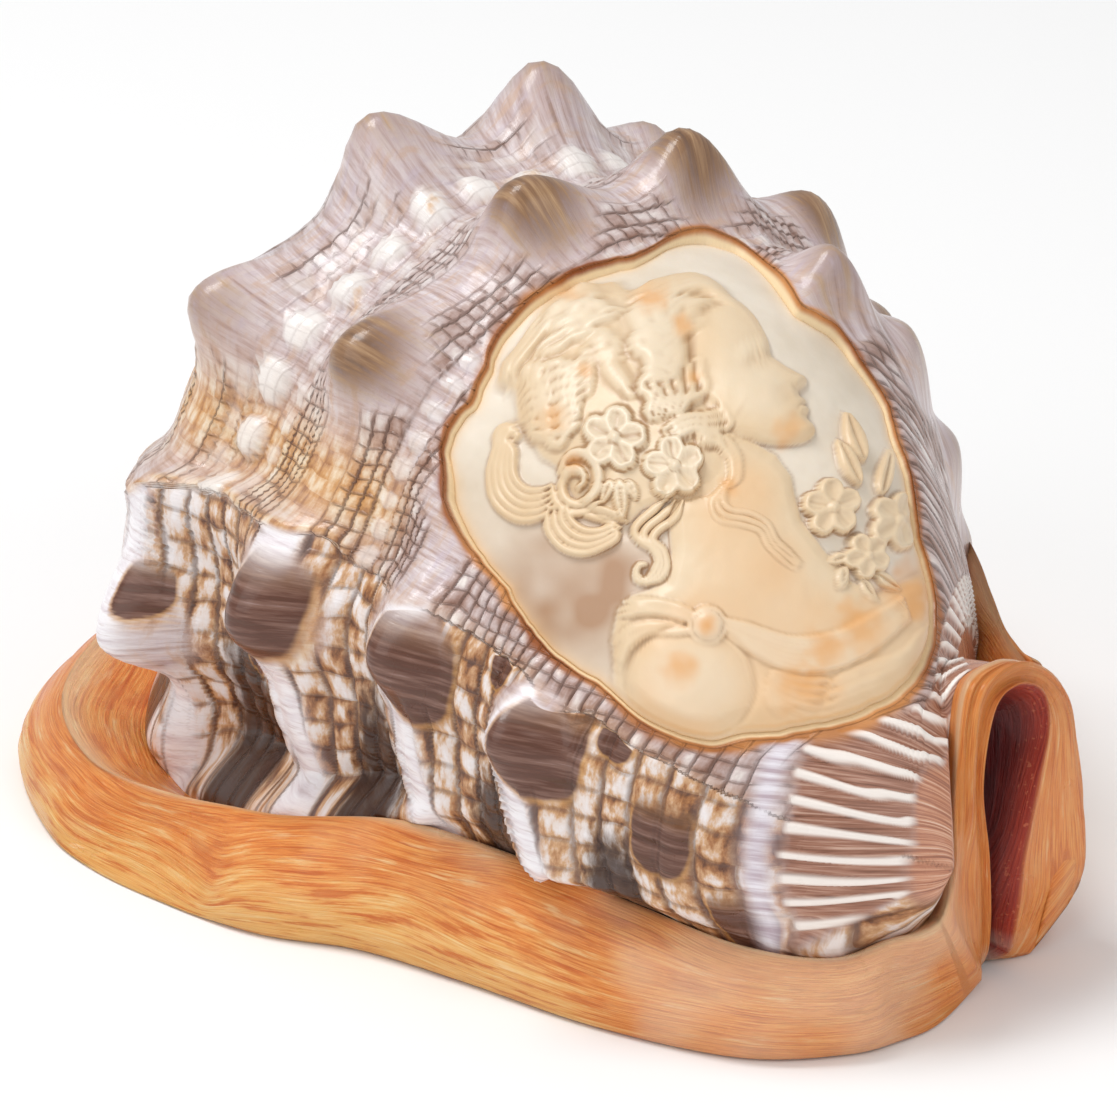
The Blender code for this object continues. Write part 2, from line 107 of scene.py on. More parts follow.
# Lip stations: outline on the ground, free edge, edge of the aperture, depth and drop of the groove
STATIONS = np.array([
    # Front lip, from the nose to the spire
    (71.9, 7.8, 0, 75.3, 1.5, 12.5, 63.5, 11.6, 2, 3, 0.5),
    (75.5, 1, 0, 75.5, -1.5, 12, 61, 9.5, 2, 2.5, 0.5),
    (76.2, -4.5, 0, 75.2, -5, 12, 58.5, 7.2, 2, 2.5, 0.5),
    (75.4, -12, 0, 73.6, -12.6, 11, 54, 3.5, 2, 2.5, 0.5),
    (69, -22.5, 0, 66, -20.5, 12, 46, -2.5, 2, 2.5, 0.5),
    (53.3, -31.4, 0, 52, -26, 13.5, 38, -7.5, 2, 2, 0.5),
    (34.5, -37.5, 0, 34, -32.5, 15, 26, -14.5, 2, 2, 0.5),
    (20.7, -42.7, 0, 20, -38, 15, 14, -20.5, 2, 2, 0.5),
    (8.4, -51, 0, 5, -45, 12, 2, -26, 2, 4, 2),
    (-13.5, -56.7, 0, -12, -49, 9.5, -12, -29.5, 2, 8, 4),
    (-30, -55, 0, -27, -50.5, 8.5, -25, -31, 2, 11, 4.5),
    (-48.8, -46.5, 0, -46, -43, 8.5, -37, -29, 2, 11, 4),
    # Spire end
    (-61, -31, 0, -58.5, -28, 10, -46, -24.5, 2.5, 10, 4),
    (-66, -10, 0, -63.5, -10, 12, -50, -19, 3, 9, 4),
    (-65, 14, 0, -62.5, 13, 15, -46, -13.5, 3, 9, 4),
    (-56, 34, 0, -54, 34, 19, -38, -14, 2.5, 9, 6),
    # Shield at the back
    (-38, 44, 0, -38, 49, 23, -26, -16, 2, 9, 7),
    (-16, 46, 0, -16, 55, 27, -14, -14.5, 2, 9, 7),
    (6, 45, 0, 6, 53, 30, 0, -9.5, 2, 9, 7),
    (26, 42, 0, 24, 45.5, 31.5, 14, -4.5, 2, 8, 7),
    (44, 37, 0, 41, 35.5, 33, 28, 2, 2, 7, 7),
    (55, 32, 0, 52, 29, 34, 42, 7.5, 2, 6, 7),
    (62.5, 28, 0, 58.5, 26.5, 34, 56, 13, 2, 5, 8),
    # Scroll, arch and left wall of the canal
    (67, 21.5, 0, 60.5, 27.5, 33, 66.5, 16, 2, 4, 8),
    (66, 29.3, 6, 61.5, 27.5, 32, 69, 15.8, 7, 4, 8),
    (66.3, 29.8, 13, 62.8, 27.2, 31.5, 69.4, 16.4, 15, 3.5, 6),
    (67.2, 27.5, 23, 64.3, 25.8, 34, 69, 18.8, 23.5, 3, 5),
    (67.9, 25.5, 31, 65.6, 23.5, 36, 68.5, 20.6, 30, 2.5, 3),
    (68.8, 21, 36.6, 66.8, 20, 38, 68.7, 19.5, 34.5, 2.5, 1.5),
    (70, 15.5, 38.8, 68.8, 14.5, 40, 69.8, 15.2, 36.8, 2.5, 1),
    (71.6, 10, 37, 71, 8.3, 39, 71, 11, 35.3, 2.5, 0.5),
    (72.6, 8, 28, 73.3, 5.2, 31, 71.8, 8.9, 27, 2.5, 0.5),
    (71.6, 9.9, 17, 74.4, 4, 21.5, 70.6, 11, 17, 2.5, 0.5),
    (69.8, 11.8, 6.5, 75, 3.2, 16, 68.6, 13, 7, 2.5, 0.5),
    (68.6, 12.8, 0, 75.2, 2.5, 13.5, 66.8, 13.4, 2, 3, 0.5),
], float)
# The lip's thickness at its free edge, how far its face swells, and that swell's share on the scroll
RIM_THICKNESS = 2.0
LIP_BULGE = 1.8
SCROLL_BULGE = 0.2
# Band that rests on the ground, rise from the aperture's edge to the throat, and the canal's two ends
CONTACT_BAND = 5.0
THROAT_RISE = 6.0
CANAL_MOUTH = np.array([70.0, 14.5, 26.0])
CANAL_THROAT = np.array([58.0, 6.0, 22.0])
CANAL_NARROWING = 0.6
# How often the lip's outward directions are evened out
OUTWARD_PASSES = 60

# The cameo: its middle, right and outline as angle and radius on a plane 60 mm from the core
CAMEO_MIDDLE = np.array([47.0, -21.0, 40.0])
CAMEO_RIGHT = np.array([0.471, 0.877, -0.093])
CAMEO_PLANE = 60.0
CAMEO_OUTLINE = np.array([
    (0, 33), (24, 38), (33, 45), (43, 46), (51, 48.5), (61, 43.5), (67, 55), (74, 71), (81, 70.5), (87, 62),
    (94, 51), (106, 49), (118, 47), (126, 45.5), (135, 41), (147, 38), (160, 39.5), (174, 36), (193, 29.5),
    (207, 26.5), (228, 26.5), (246, 26), (265, 29), (274, 29.8), (281, 29), (293, 29.8), (302, 31.2),
    (312, 32.7), (321, 33.8), (332, 36), (343, 35.8), (355, 32.5),
], float)
CAMEO_DEPTH = 1.0
# Share of the knobs' height that the carver left at the rim, and how far from it they are whole again
RIM_ORNAMENT = 0.25
RIM_REACH = 9.0

# Grid: lines from the lip to the cameo, share of their spacing that goes by turn, and rings
LINES = 520
TURN_SHARE = 0.17
RIM_RINGS = 8
DOME_RINGS = 172
CAMEO_RINGS = 150
BISECTIONS = 24

# Camera: place and target in the frame of the coil, and the lens
CAMERA_PLACE = np.array([668.2, -467.9, 380.4])
CAMERA_TARGET = np.array([0.2, 0.4, 32.6])
SENSOR = 36.0
FRAME_PIXELS = 1117
FOCAL_PIXELS = 7290.0


def smooth(t):
    t = np.clip(t, 0.0, 1.0)
    return t * t * (3 - 2 * t)


def unit(v):
    return v / np.maximum(np.linalg.norm(v, axis=-1, keepdims=True), 1e-9)


def wrapped(angle):
    return (angle + math.pi) % (2 * math.pi) - math.pi


def bump(distance, width):
    return np.exp(-((distance / width) ** 2))


def dome(away):
    """Round top: 1 in the middle and 0 where away reaches 1."""
    return np.sqrt(np.maximum(0, 1 - away ** 2))


def edge_of(phase):
    """1 at the edges of a cord or bead and 0 in its middle."""
    return 2 * np.abs(phase - np.floor(phase) - 0.5)


def lattice(i, j, seed):
    """Even random numbers from 0 to 1 at whole-number places."""
    mixed = np.sin(i * 127.1 + j * 311.7 + seed * 74.7) * 43758.5453
    return mixed - np.floor(mixed)


def noise(x, y, seed):
    """Smooth random height from -1 to 1 over a plane."""
    i = np.floor(x)
    j = np.floor(y)
    u = smooth(x - i)
    v = smooth(y - j)
    low = lattice(i, j, seed) * (1 - u) + lattice(i + 1, j, seed) * u
    high = lattice(i, j + 1, seed) * (1 - u) + lattice(i + 1, j + 1, seed) * u
    return 2 * (low * (1 - v) + high * v) - 1


def curve(x, xs, ys):
    """Smooth curve through the points (xs, ys) at x."""
    step = np.diff(xs)
    slope = np.diff(ys) / step
    tangent = np.zeros(len(xs))
    tangent[1:-1] = (slope[:-1] * step[1:] + slope[1:] * step[:-1]) / (step[:-1] + step[1:])
    tangent[0] = 1.5 * slope[0] - 0.5 * tangent[1]
    tangent[-1] = 1.5 * slope[-1] - 0.5 * tangent[-2]
    i = np.clip(np.searchsorted(xs, x) - 1, 0, len(xs) - 2)
    t = np.clip((x - xs[i]) / step[i], 0, 1)
    start = ys[i] * (1 + 2 * t) * (1 - t) ** 2 + tangent[i] * step[i] * t * (1 - t) ** 2
    end = ys[i + 1] * t * t * (3 - 2 * t) + tangent[i + 1] * step[i] * t * t * (t - 1)
    return start + end


def spline_step(a, b, c, d, t):
    """Point from b to c, at share t, of the smooth curve through all four."""
    bend = 2 * a - 5 * b + 4 * c - d
    twist = 3 * b - a - 3 * c + d
    return 0.5 * (2 * b + (c - a) * t + bend * t ** 2 + twist * t ** 3)


def closed_curve(u, table):
    """Smooth closed curve through the rows of a table; u counts rows."""
    i = np.floor(u).astype(int)
    a, b, c, d = (table[(i + k) % len(table)] for k in (-1, 0, 1, 2))
    return spline_step(a, b, c, d, (u - i)[..., None])


def through_rings(rings, counts):
    """Rings of a smooth surface through the given rings, with so many steps from each to the next."""
    out = []
    last = len(rings) - 1
    for i, count in enumerate(counts):
        a, b, c, d = (rings[min(max(i + k, 0), last)] for k in (-1, 0, 1, 2))
        out += [spline_step(a, b, c, d, step / count) for step in range(count)]
    return out + [rings[last]]


def front_weight(angle):
    """1 on the front below the growth stop, where the rows turn into ribs."""
    return 1 - smooth((np.abs(np.degrees(angle) + 10) - 20) / 20)


def stop_degrees(x):
    """Angle of the old growth stop, which lies lower towards the spire."""
    return STEP_ANGLE - STEP_DROP * (1 - smooth((x + 32) / 25))


def knob_field(x, angle, reach, row):
    """Distance along the coil from a row's crest, height of its knobs, and their height as a share."""
    x0, _, _, length, breadth, knobs, _ = row
    front = front_weight(angle)
    along = x - x0 - RIB_LEAN * front * smooth((5 - np.degrees(angle)) / 40)
    height = np.zeros_like(x)
    share = np.zeros_like(x)
    for degrees, knob in knobs:
        across = reach * wrapped(angle - math.radians(degrees))
        across = across / np.where(across < 0, STEEP_SIDE, GENTLE_SIDE)
        field = np.exp(-((along / length) ** 2) - (across / breadth) ** 2)
        height = height + knob * field
        share = share + field
    return along, height, share


def row_height(x, angle, reach, row, gain):
    along, knobs, _ = knob_field(x, angle, reach, row)
    front = front_weight(angle)
    return gain * row[1] * (1 + RIB_GAIN * front) * bump(along, row[2]) + knobs


def ornament(x, angle, reach):
    """Height of rows, knobs, growth stop and spire seam above the smooth body."""
    height = sum(row_height(x, angle, reach, row, 1.0) for row in ROWS)
    height = height + row_height(x, angle, reach, FRONT_ROW, front_weight(angle))
    past_step = reach * (angle - np.radians(stop_degrees(x)))
    past_step = past_step / np.where(past_step > 0, STEP_ABOVE, STEP_BELOW)
    step_here = (1 - smooth((x + 15) / 20)) * smooth((x + 45) / 10)
    height = height + STEP_HEIGHT * np.exp(-(past_step ** 2)) * step_here
    turn = (x - SPIRE_X) / (-36 - SPIRE_X) * SEAM_TURNS - angle / (2 * math.pi)
    seam = np.exp(-((wrapped(2 * math.pi * turn) / 0.55) ** 2))
    return height - SEAM_DEPTH * seam * (1 - smooth((x + 42) / 6))


def coil_place(points):
    """Angle round the coil, distance from its middle and smooth reach of the body there."""
    x = points[..., 0]
    centre_y, centre_z, front, top, back = (curve(x, SECTIONS[:, 0], column) for column in SECTIONS.T[1:])
    y = points[..., 1] - centre_y
    z = points[..., 2] - centre_z
    angle = np.arctan2(z, -y)
    angle = np.where(angle < -LOWEST_ANGLE, angle + 2 * math.pi, angle)
    side = np.maximum(np.where(np.abs(angle) < math.pi / 2, front, back), 1e-3)
    top = np.maximum(top, 1e-3)
    reach = side * top / np.hypot(top * np.cos(angle), side * np.sin(angle))
    return angle, np.hypot(y, z), reach


def outside(points, shrink, plain):
    """Distance from the body surface in its cross section, positive outside."""
    x = points[..., 0]
    angle, distance, reach = coil_place(points)
    body = reach - shrink
    if not plain:
        body = body + ornament(x, angle, reach) * smooth(reach / 20)
    gap = distance - np.maximum(body, 0)
    return np.where((x < SPIRE_X + shrink) | (x > NOSE_X - shrink), 1.0, gap)


def cast(directions, shrink=0.0, plain=False):
    """Distance from the core to the body surface along each direction."""
    near = np.zeros(directions.shape[:-1])
    far = np.full(directions.shape[:-1], 110.0)
    for _ in range(BISECTIONS):
        middle = (near + far) / 2
        out = outside(CORE + directions * middle[..., None], shrink, plain) > 0
        far = np.where(out, middle, far)
        near = np.where(out, near, middle)
    return (near + far) / 2


def cameo_axes():
    ahead = unit(CAMEO_MIDDLE)
    right = unit(CAMEO_RIGHT - (CAMEO_RIGHT @ ahead) * ahead)
    return ahead, right, np.cross(ahead, right)


def polar(directions):
    """Angle from the cameo's middle and direction round it, the second counted from its right."""
    ahead, right, up = cameo_axes()
    return np.arccos(np.clip(directions @ ahead, -1, 1)), np.arctan2(directions @ up, directions @ right)


def from_polar(away, around):
    ahead, right, up = cameo_axes()
    flat = np.cos(around)[..., None] * right + np.sin(around)[..., None] * up
    return np.cos(away)[..., None] * ahead + np.sin(away)[..., None] * flat


def rails(u):
    """Outline on the ground, free edge, aperture edge and groove at the stations u."""
    row = closed_curve(u, STATIONS)
    ground, edge, aperture = row[:, 0:3].copy(), row[:, 3:6], row[:, 6:9]
    ground[:, 2] = np.maximum(ground[:, 2], 0)
    inward = unit((CORE - edge) * np.array([1, 1, 0.15]))
    groove = edge + inward * row[:, 9:10]
    groove[:, 2] -= row[:, 10]
    return ground, edge, aperture, groove


def steady_round(around):
    """Directions round the cameo that never turn back, close to the ones given."""
    sense = np.sign(around[-1] - around[0])
    steps = np.diff(np.append(around, around[0] + sense * 2 * math.pi)) * sense
    steps = np.maximum(steps, 0.2 * 2 * math.pi / len(around))
    steps *= 2 * math.pi / steps.sum()
    steady = around[0] + sense * np.concatenate([[0], np.cumsum(steps)[:-1]])
    return steady + (around - steady).mean()


def line_stations():
    """Stations of the grid lines, even both along the lip and round the cameo."""
    u = np.linspace(0, len(STATIONS), 4001)
    _, edge, aperture, groove = rails(u)
    lip = np.linalg.norm(np.diff((edge + aperture) / 2, axis=0), axis=1)
    turn = np.abs(np.diff(np.unwrap(polar(unit(groove - CORE))[1])))
    share = (1 - TURN_SHARE) * lip / lip.sum() + TURN_SHARE * turn / turn.sum()
    measure = np.concatenate([[0], np.cumsum(share)])
    return np.interp(np.arange(LINES) / LINES * measure[-1], measure, u)


def rim_of(around):
    """Angle from the cameo's middle to its carved rim, with the small slips of the graver."""
    degrees = np.degrees(around) % 360
    angles = np.append(CAMEO_OUTLINE[:, 0], 360)
    radii = np.append(CAMEO_OUTLINE[:, 1], CAMEO_OUTLINE[0, 1])
    radius = np.interp(degrees, angles, radii)
    kernel = np.hanning(9)
    padded = np.concatenate([radius[-4:], radius, radius[:4]])
    radius = np.convolve(padded, kernel / kernel.sum(), "valid")
    upper = smooth((np.sin(around) + 0.2) / 0.6)
    slips = 0.5 * noise(degrees / 7, 0.0, 3) + 0.3 * noise(degrees / 2.6, 0.0, 4)
    return np.arctan((radius + slips * (0.35 + 0.9 * upper)) / CAMEO_PLANE)


def lines_to_cameo(groove):
    """For each line: angle and direction at the groove, direction at the cameo, and angle of the rim."""
    away_end, around_end = polar(unit(groove - CORE))
    around_end = np.unwrap(around_end)
    steady = steady_round(around_end)
    return away_end, around_end, steady, rim_of(steady)


# Fine sculpture of the body. Cords run round the coil and beads cut them up. Both are larger below the
# growth stop.

CORD = 1.6
BEAD = 1.9
LOW_CORD = 3.3
LOW_BEAD = 3.4
CORD_HEIGHT = 0.42
BEAD_HEIGHT = 0.30
LOW_BEAD_GAIN = 0.20
STOP_WANDER = 1.6
STOP_EDGE_HEIGHT = 0.7
GROWTH_LINE_HEIGHT = 0.06
# Rows of large beads: x, degrees between beads, radius, rise
BEAD_ROWS = ((-17.0, 9.0, 2.5, 1.5), (-12.6, 5.2, 1.3, 0.5), (-21.6, 5.6, 1.3, 0.45), (10.0, 4.8, 1.4, 0.5))
# Riblets at the canal end: from and to which x, degrees between them, width as a share, heights in mm
RIBLETS_FROM = 69.0
RIBLETS_TO = 75.6
RIBLET_DEGREES = 4.0
RIBLET_SHARE = 0.46
RIBLET_CENTRE = 26.0
RIBLET_HEIGHT = 0.85
SMOOTH_BAND_HEIGHT = 0.7
CANAL_END_BACK = 27.0


def canal_end(degrees):
    """How far the canal-end bands lie towards the spire, away from the front."""
    return CANAL_END_BACK * smooth((degrees - 95) / 75)


def fine_sculpture(x, angle, reach):
    """Height in mm of cords, beads, riblets and growth lines, and the fields that colour them."""
    degrees = np.degrees(angle)
    along = reach * angle
    front = front_weight(angle)
    stop = stop_degrees(x) + STOP_WANDER * noise(x / 5, 0.0, 11)
    off_spire = smooth((x + 47) / 6)
    below = smooth((stop - degrees) / 1.6) * off_spire
    crest = np.zeros_like(x)
    knob = np.zeros_like(x)
    for row in ROWS + (FRONT_ROW,):
        away, _, share = knob_field(x, angle, reach, row)
        weight = front if row is FRONT_ROW else 1.0
        crest = np.maximum(crest, bump(away / (1 - 0.3 * below), row[2] * 0.72) * weight)
        knob = np.maximum(knob, share)
    low = below > 0.5
    # Cords and beads wander a little, as grown ones do
    sway = 0.45 * noise(x / 7, along / 12, 5) + 0.2 * noise(x / 3, along / 4, 6)
    cord_phase = (x + sway) / np.where(low, LOW_CORD, CORD)
    bead_shift = 0.55 * noise(x / 2.5, along / 8, 7) + 0.4 * noise(x / 9, along / 5, 17)
    bead_phase = (along + bead_shift) / np.where(low, LOW_BEAD, BEAD)
    open_field = (1 - smooth((crest - 0.35) / 0.4)) * (1 - smooth((knob - 0.22) / 0.25))
    spire = 1 - smooth((x + 38) / 6)
    relief_here = open_field * (1 - 0.6 * spire)
    bead_height = (BEAD_HEIGHT + LOW_BEAD_GAIN * below) * dome(0.9 * edge_of(bead_phase))
    height = relief_here * dome(0.97 * edge_of(cord_phase)) * (CORD_HEIGHT + bead_height)
    bead_mask = np.zeros_like(x)
    open_row = np.ones_like(x)
    for row_x, gap, radius, rise in BEAD_ROWS:
        step = np.round((degrees + 2 * noise(degrees / 15, row_x, 8)) / gap)
        centre = np.radians(step * gap)
        jitter = 0.8 * (lattice(step, row_x, 9) - 0.5)
        away = np.hypot(x - row_x - jitter, reach * (angle - centre) * 0.9) / radius
        swell = dome(away) * (1 - below) * open_field ** 0.5
        row_here = smooth((1.25 - np.abs(x - row_x) / radius) / 0.2) * (1 - below)
        height = height * (1 - 0.8 * row_here)
        open_row = open_row * (1 - 0.85 * row_here)
        height = np.maximum(height, rise * swell * (0.7 + 0.6 * lattice(step, row_x, 10)))
        bead_mask = np.maximum(bead_mask, smooth(swell * 1.4) * min(rise, 1.0))
    # Riblets at the canal end, with a smooth band on their inner side. They fan out from far behind.
    place = x + canal_end(degrees)
    begin = RIBLETS_FROM - 2.0 * bump(degrees - 50, 22)
    finish = RIBLETS_TO - 2.6 * bump(degrees - 90, 30)
    low_end = smooth((degrees + 38) / 8)
    band = smooth((place - begin) / 0.6) * (1 - smooth((place - finish) / 0.9)) * low_end
    smooth_band = bump(place - begin + 1.3, 1.0) * low_end * (1 - smooth((degrees - 50) / 12))
    fan = np.degrees(np.arctan2(reach * np.sin(angle), reach * np.cos(angle) + RIBLET_CENTRE))
    riblet_phase = (fan + 0.5 * noise(x / 5, degrees / 9, 12)) / RIBLET_DEGREES
    riblet = dome(edge_of(riblet_phase) / RIBLET_SHARE)
    height = height * (1 - band) * (1 - smooth_band)
    height = height + RIBLET_HEIGHT * band * riblet + SMOOTH_BAND_HEIGHT * smooth_band
    neck = smooth((place - finish + 0.4) / 1.2)
    height = height * (1 - 0.85 * neck * (1 - band))
    # Growth lines run across the cords and stand out on the smooth ribs
    lines = 0.5 * noise(along / 0.8, x / 14, 13) + noise(along / 2.1, x / 18, 14)
    height = height + GROWTH_LINE_HEIGHT * lines * (1 + below)
    # Thin raised edge of the growth stop
    stop_edge = bump(along - reach * np.radians(stop), 0.8) * off_spire
    stop_edge = stop_edge * (1 - 0.75 * smooth((x - 4) / 14)) * (1 - neck) * (1 - band)
    height = height + STOP_EDGE_HEIGHT * stop_edge
    fields = {
        "crest": crest,
        "bead": bead_mask,
        "below": below,
        "open": relief_here * open_row * (1 - band) * (1 - smooth_band) * (1 - 0.8 * neck),
        "band": band,
        "neck": neck,
        "smooth_band": smooth_band,
        "stop_edge": stop_edge,
        "weave": np.stack([cord_phase, bead_phase, riblet_phase], axis=-1),
    }
    return height, fields


# Brown patches on the ribs below the growth stop: x, mm up from the front, half sizes
PATCHES = (
    (1.6, 7.0, 4.6, 6.2), (25.0, 7.5, 4.4, 6.8), (46.5, 6.5, 4.2, 6.4), (59.5, 1.0, 2.9, 5.0),
    (66, -8, 2.4, 4.6), (-24, 1, 3.0, 3.2), (-9, -3, 1.8, 3.4), (36.5, 12.5, 1.8, 3.0), (53.5, 10, 2.0, 2.8),
)
# Hollows between the ribs near the lip, held the same way; their dark is partly brown and partly painted
# shade
HOLLOWS = (
    (-11, -17, 5.4, 17), (14.5, -16, 4.8, 16), (36.0, -13, 4.0, 13), (54, -12, 3.4, 11), (-36, -14, 5, 10),
)
BLOTCH_POWER = 2.6
BLOTCH_REACH = 3.0


def blotch(x, along, places):
    """Nearness to the closest of the given squarish ovals: under 1 inside, growing outwards."""
    size = np.full(x.shape, BLOTCH_REACH)
    for px, pa, half_x, half_a in places:
        oval = np.abs((x - px) / half_x) ** BLOTCH_POWER + np.abs((along - pa) / half_a) ** BLOTCH_POWER
        size = np.minimum(size, oval ** (1 / BLOTCH_POWER))
    return size


def patch_fade(x, along):
    """1 over the lower part of each brown patch, fading out towards its top."""
    fade = np.zeros_like(x)
    for px, pa, half_x, half_a in PATCHES:
        near = np.abs(x - px) < half_x * 1.4
        fade = np.where(near, smooth((pa + half_a * 1.05 - along) / (half_a * 0.9)), fade)
    return fade


def colour_fields(x, angle, reach, fields):
    """Values that the body's material reads, in three groups of four."""
    degrees = np.degrees(angle)
    along = reach * angle
    cap = np.zeros_like(x)
    for row in ROWS + (FRONT_ROW,):
        away, _, share = knob_field(x, angle, reach, row)
        cap = np.maximum(cap, row[6] * (share - 0.12 * smooth(-away / 4)))
    below = fields["below"]
    patch = blotch(x, along, PATCHES) + 2 * (1 - below)
    hollow = blotch(x, along, HOLLOWS) + 2 * (1 - below)
    cap = cap * (1 - below)
    rib = smooth(fields["crest"] * 1.9 - 0.2) * below
    near_step = bump(degrees - 27, 8) * smooth((x + 50) / 8) * (1 - smooth((x - 8) / 10))
    fade = patch_fade(x, along)
    stain = np.maximum(near_step * (1 - below), 0.9 * bump(patch - 1.15, 0.16) * below * fade)
    stain = np.maximum(stain, 0.9 * fields["stop_edge"])
    return {
        "fields_a": np.stack([cap, patch / BLOTCH_REACH, rib, below], axis=-1),
        "fields_b": np.stack([stain, fields["neck"], fields["band"], fields["bead"]], axis=-1),
        "fields_c": np.stack([fields["open"], fields["smooth_band"], hollow / BLOTCH_REACH, fade], axis=-1),
    }


def body_rings(groove):
    """Rings of the body from under the cameo's edge out to the groove, with their marks."""
    away_end, around_end, steady, rim = lines_to_cameo(groove)
    shares = np.arange(DOME_RINGS + 1) / DOME_RINGS
    turned = smooth((shares - 0.4) / 0.6)[:, None]
    span = (away_end - rim) * shares[:, None]
    directions = from_polar(rim + span, steady + (around_end - steady) * turned)
    past_rim = span * CAMEO_PLANE
    plain = cast(directions, plain=True)
    carved_off = RIM_ORNAMENT + (1 - RIM_ORNAMENT) * smooth(past_rim / RIM_REACH)
    reach = plain + (cast(directions) - plain) * carved_off
    reach_end = np.linalg.norm(groove - CORE, axis=1)
    pull = smooth((shares - 0.8) / 0.2)[:, None]
    reach = reach + (reach_end - reach[-1]) * pull
    points = CORE + directions * reach[..., None]
    angle, _, smooth_reach = coil_place(points)
    height, fields = fine_sculpture(points[..., 0], angle, smooth_reach)
    # The carver's cut leaves a low, soft edge round the cameo
    height = height * (1 - pull * 0.8) * smooth(past_rim / 2.0)
    outward = np.stack([np.zeros_like(angle), -np.cos(angle), np.sin(angle)], axis=-1)
    points = points + outward * (height * smooth(smooth_reach / 15))[..., None]
    ragged = past_rim / (1 + 0.6 * noise(np.degrees(steady)[None] / 5, past_rim / 4, 19))
    # Rim wall from the cameo's ground up to the body
    wall_shares = np.linspace(0, 1, RIM_RINGS)[:, None]
    wall_directions = from_polar(rim * (0.965 + 0.035 * wall_shares), steady[None])
    ground_reach = cast(wall_directions, plain=True) - CAMEO_DEPTH - 0.5
    rise = smooth((wall_shares - 0.35) / 0.65)
    wall_reach = ground_reach + (np.linalg.norm(points[0] - CORE, axis=1) - ground_reach) * rise
    wall = CORE + wall_directions * wall_reach[..., None]

    def with_wall(values, wall_values):
        return np.concatenate([np.broadcast_to(wall_values, wall_reach.shape + values.shape[2:]), values])

    coil = np.stack([points[..., 0] / 10, smooth_reach * angle / 10, height], axis=-1)
    attributes = {
        "coil": with_wall(coil, coil[0]),
        "weave": with_wall(fields["weave"], fields["weave"][0]),
        "rust": with_wall(np.exp(-ragged / 1.1), 0.3 + 0.7 * rise),
        "cut": with_wall(np.zeros_like(past_rim), 1 - rise),
    }
    for name, values in colour_fields(points[..., 0], angle, smooth_reach, fields).items():
        attributes[name] = with_wall(values, 0.0)
    return np.concatenate([wall, points]), attributes


# Rings from each control ring of the lip to the next
LIP_RINGS = (4, 3, 4, 5, 5, 4, 3, 5, 7, 6, 3, 3)


def lip_rings(ground, edge, aperture, groove):
    """Rings from the groove over the lip, across the underside and into the cavity.

    It also gives face, which counts the control rings from 0 at the groove. The ground is 6, the aperture's
    edge 9 and the foot of the cavity's wall 12.
    """
    along = unit(np.roll(edge + ground, -1, 0) - np.roll(edge + ground, 1, 0))
    outward = unit(np.cross(edge - ground, along))
    side = np.sign(((ground + edge) / 2 - CORE * np.array([1, 1, 0.5])) * outward).sum(axis=1)
    outward = outward * np.sign(side)[:, None]
    # Neighbouring lines share their outward direction, so that the lip's face has no kinks
    for _ in range(OUTWARD_PASSES):
        outward = unit(np.roll(outward, 1, 0) + 2 * outward + np.roll(outward, -1, 0))
    crest = edge + unit(groove - edge) * RIM_THICKNESS * 0.6
    crest[:, 2] += 0.4
    control = [groove, crest, edge - outward * 0.2]
    swell = outward * LIP_BULGE * (1 - (1 - SCROLL_BULGE) * smooth(ground[:, 2:] / 10))
    for share, bulge in ((0.25, 0.8), (0.55, 1.0), (0.85, 0.7)):
        control.append(edge + (ground - edge) * share + swell * bulge)
    span = aperture - ground
    width = np.minimum(CONTACT_BAND / np.linalg.norm(span, axis=1), 0.35)[:, None]
    raised = smooth(ground[:, 2:] / 4)
    band = ground + span * width * np.array([1, 1, 0]) + span * width * raised * np.array([0, 0, 1])
    middle = band + (aperture - band) * 0.55
    middle[:, 2] = band[:, 2] + (aperture[:, 2] - band[:, 2]) * 0.3
    canal = smooth((aperture[:, :1] - 48) / 16)
    straight = aperture + np.array([0, 0, THROAT_RISE])
    bent = CANAL_THROAT + (aperture - CANAL_MOUTH) * CANAL_NARROWING
    throat = straight + (bent - straight) * canal
    foot = CORE + (groove - CORE) * 0.84
    foot[:, 2] = FLOOR_Z
    wide = throat + (throat - CANAL_THROAT) * 0.25
    foot = foot + (wide - foot) * smooth(canal * 1.15)
    direction = unit(foot - CORE)
    allowed = cast(direction, WALL, True)
    foot = CORE + direction * np.minimum(np.linalg.norm(foot - CORE, axis=1), allowed)[:, None]
    control += [ground, band, middle, aperture, throat, (throat + foot) / 2, foot]
    rings = np.array(through_rings(control, LIP_RINGS))
    rings[..., 2] = np.maximum(rings[..., 2], 0)
    face = np.interp(np.arange(len(rings)), np.cumsum((0,) + LIP_RINGS), np.arange(len(control)))
    return rings, face, outward, foot


def ceiling_rings(foot, count):
    """Rings of the cavity's ceiling, from above its foot to near its top."""
    away_start, around_start = polar(unit(foot - CORE))
    around_start = np.unwrap(around_start)
    steady = steady_round(around_start)
    reach_start = np.linalg.norm(foot - CORE, axis=1)
    first = cast(unit(foot - CORE), WALL, True)
    rings = []
    for k in range(1, count):
        share = k / count
        away = away_start * (1 - share)
        around = around_start + (steady - around_start) * smooth(share * 2)
        directions = from_polar(away, around)
        reach = cast(directions, WALL, True)
        reach = reach + (reach_start - first) * (1 - smooth(share * 2.5))
        rings.append(CORE + directions * reach[:, None])
    return np.array(rings)


# Attribute type and field by how many values a point has
LAYER_KINDS = {1: ("FLOAT", "value"), 3: ("FLOAT_VECTOR", "vector"), 4: ("FLOAT_COLOR", "color")}


def place_in_scene(name, data):
    thing = bpy.data.objects.new(name, data)
    bpy.context.scene.collection.objects.link(thing)
    return thing


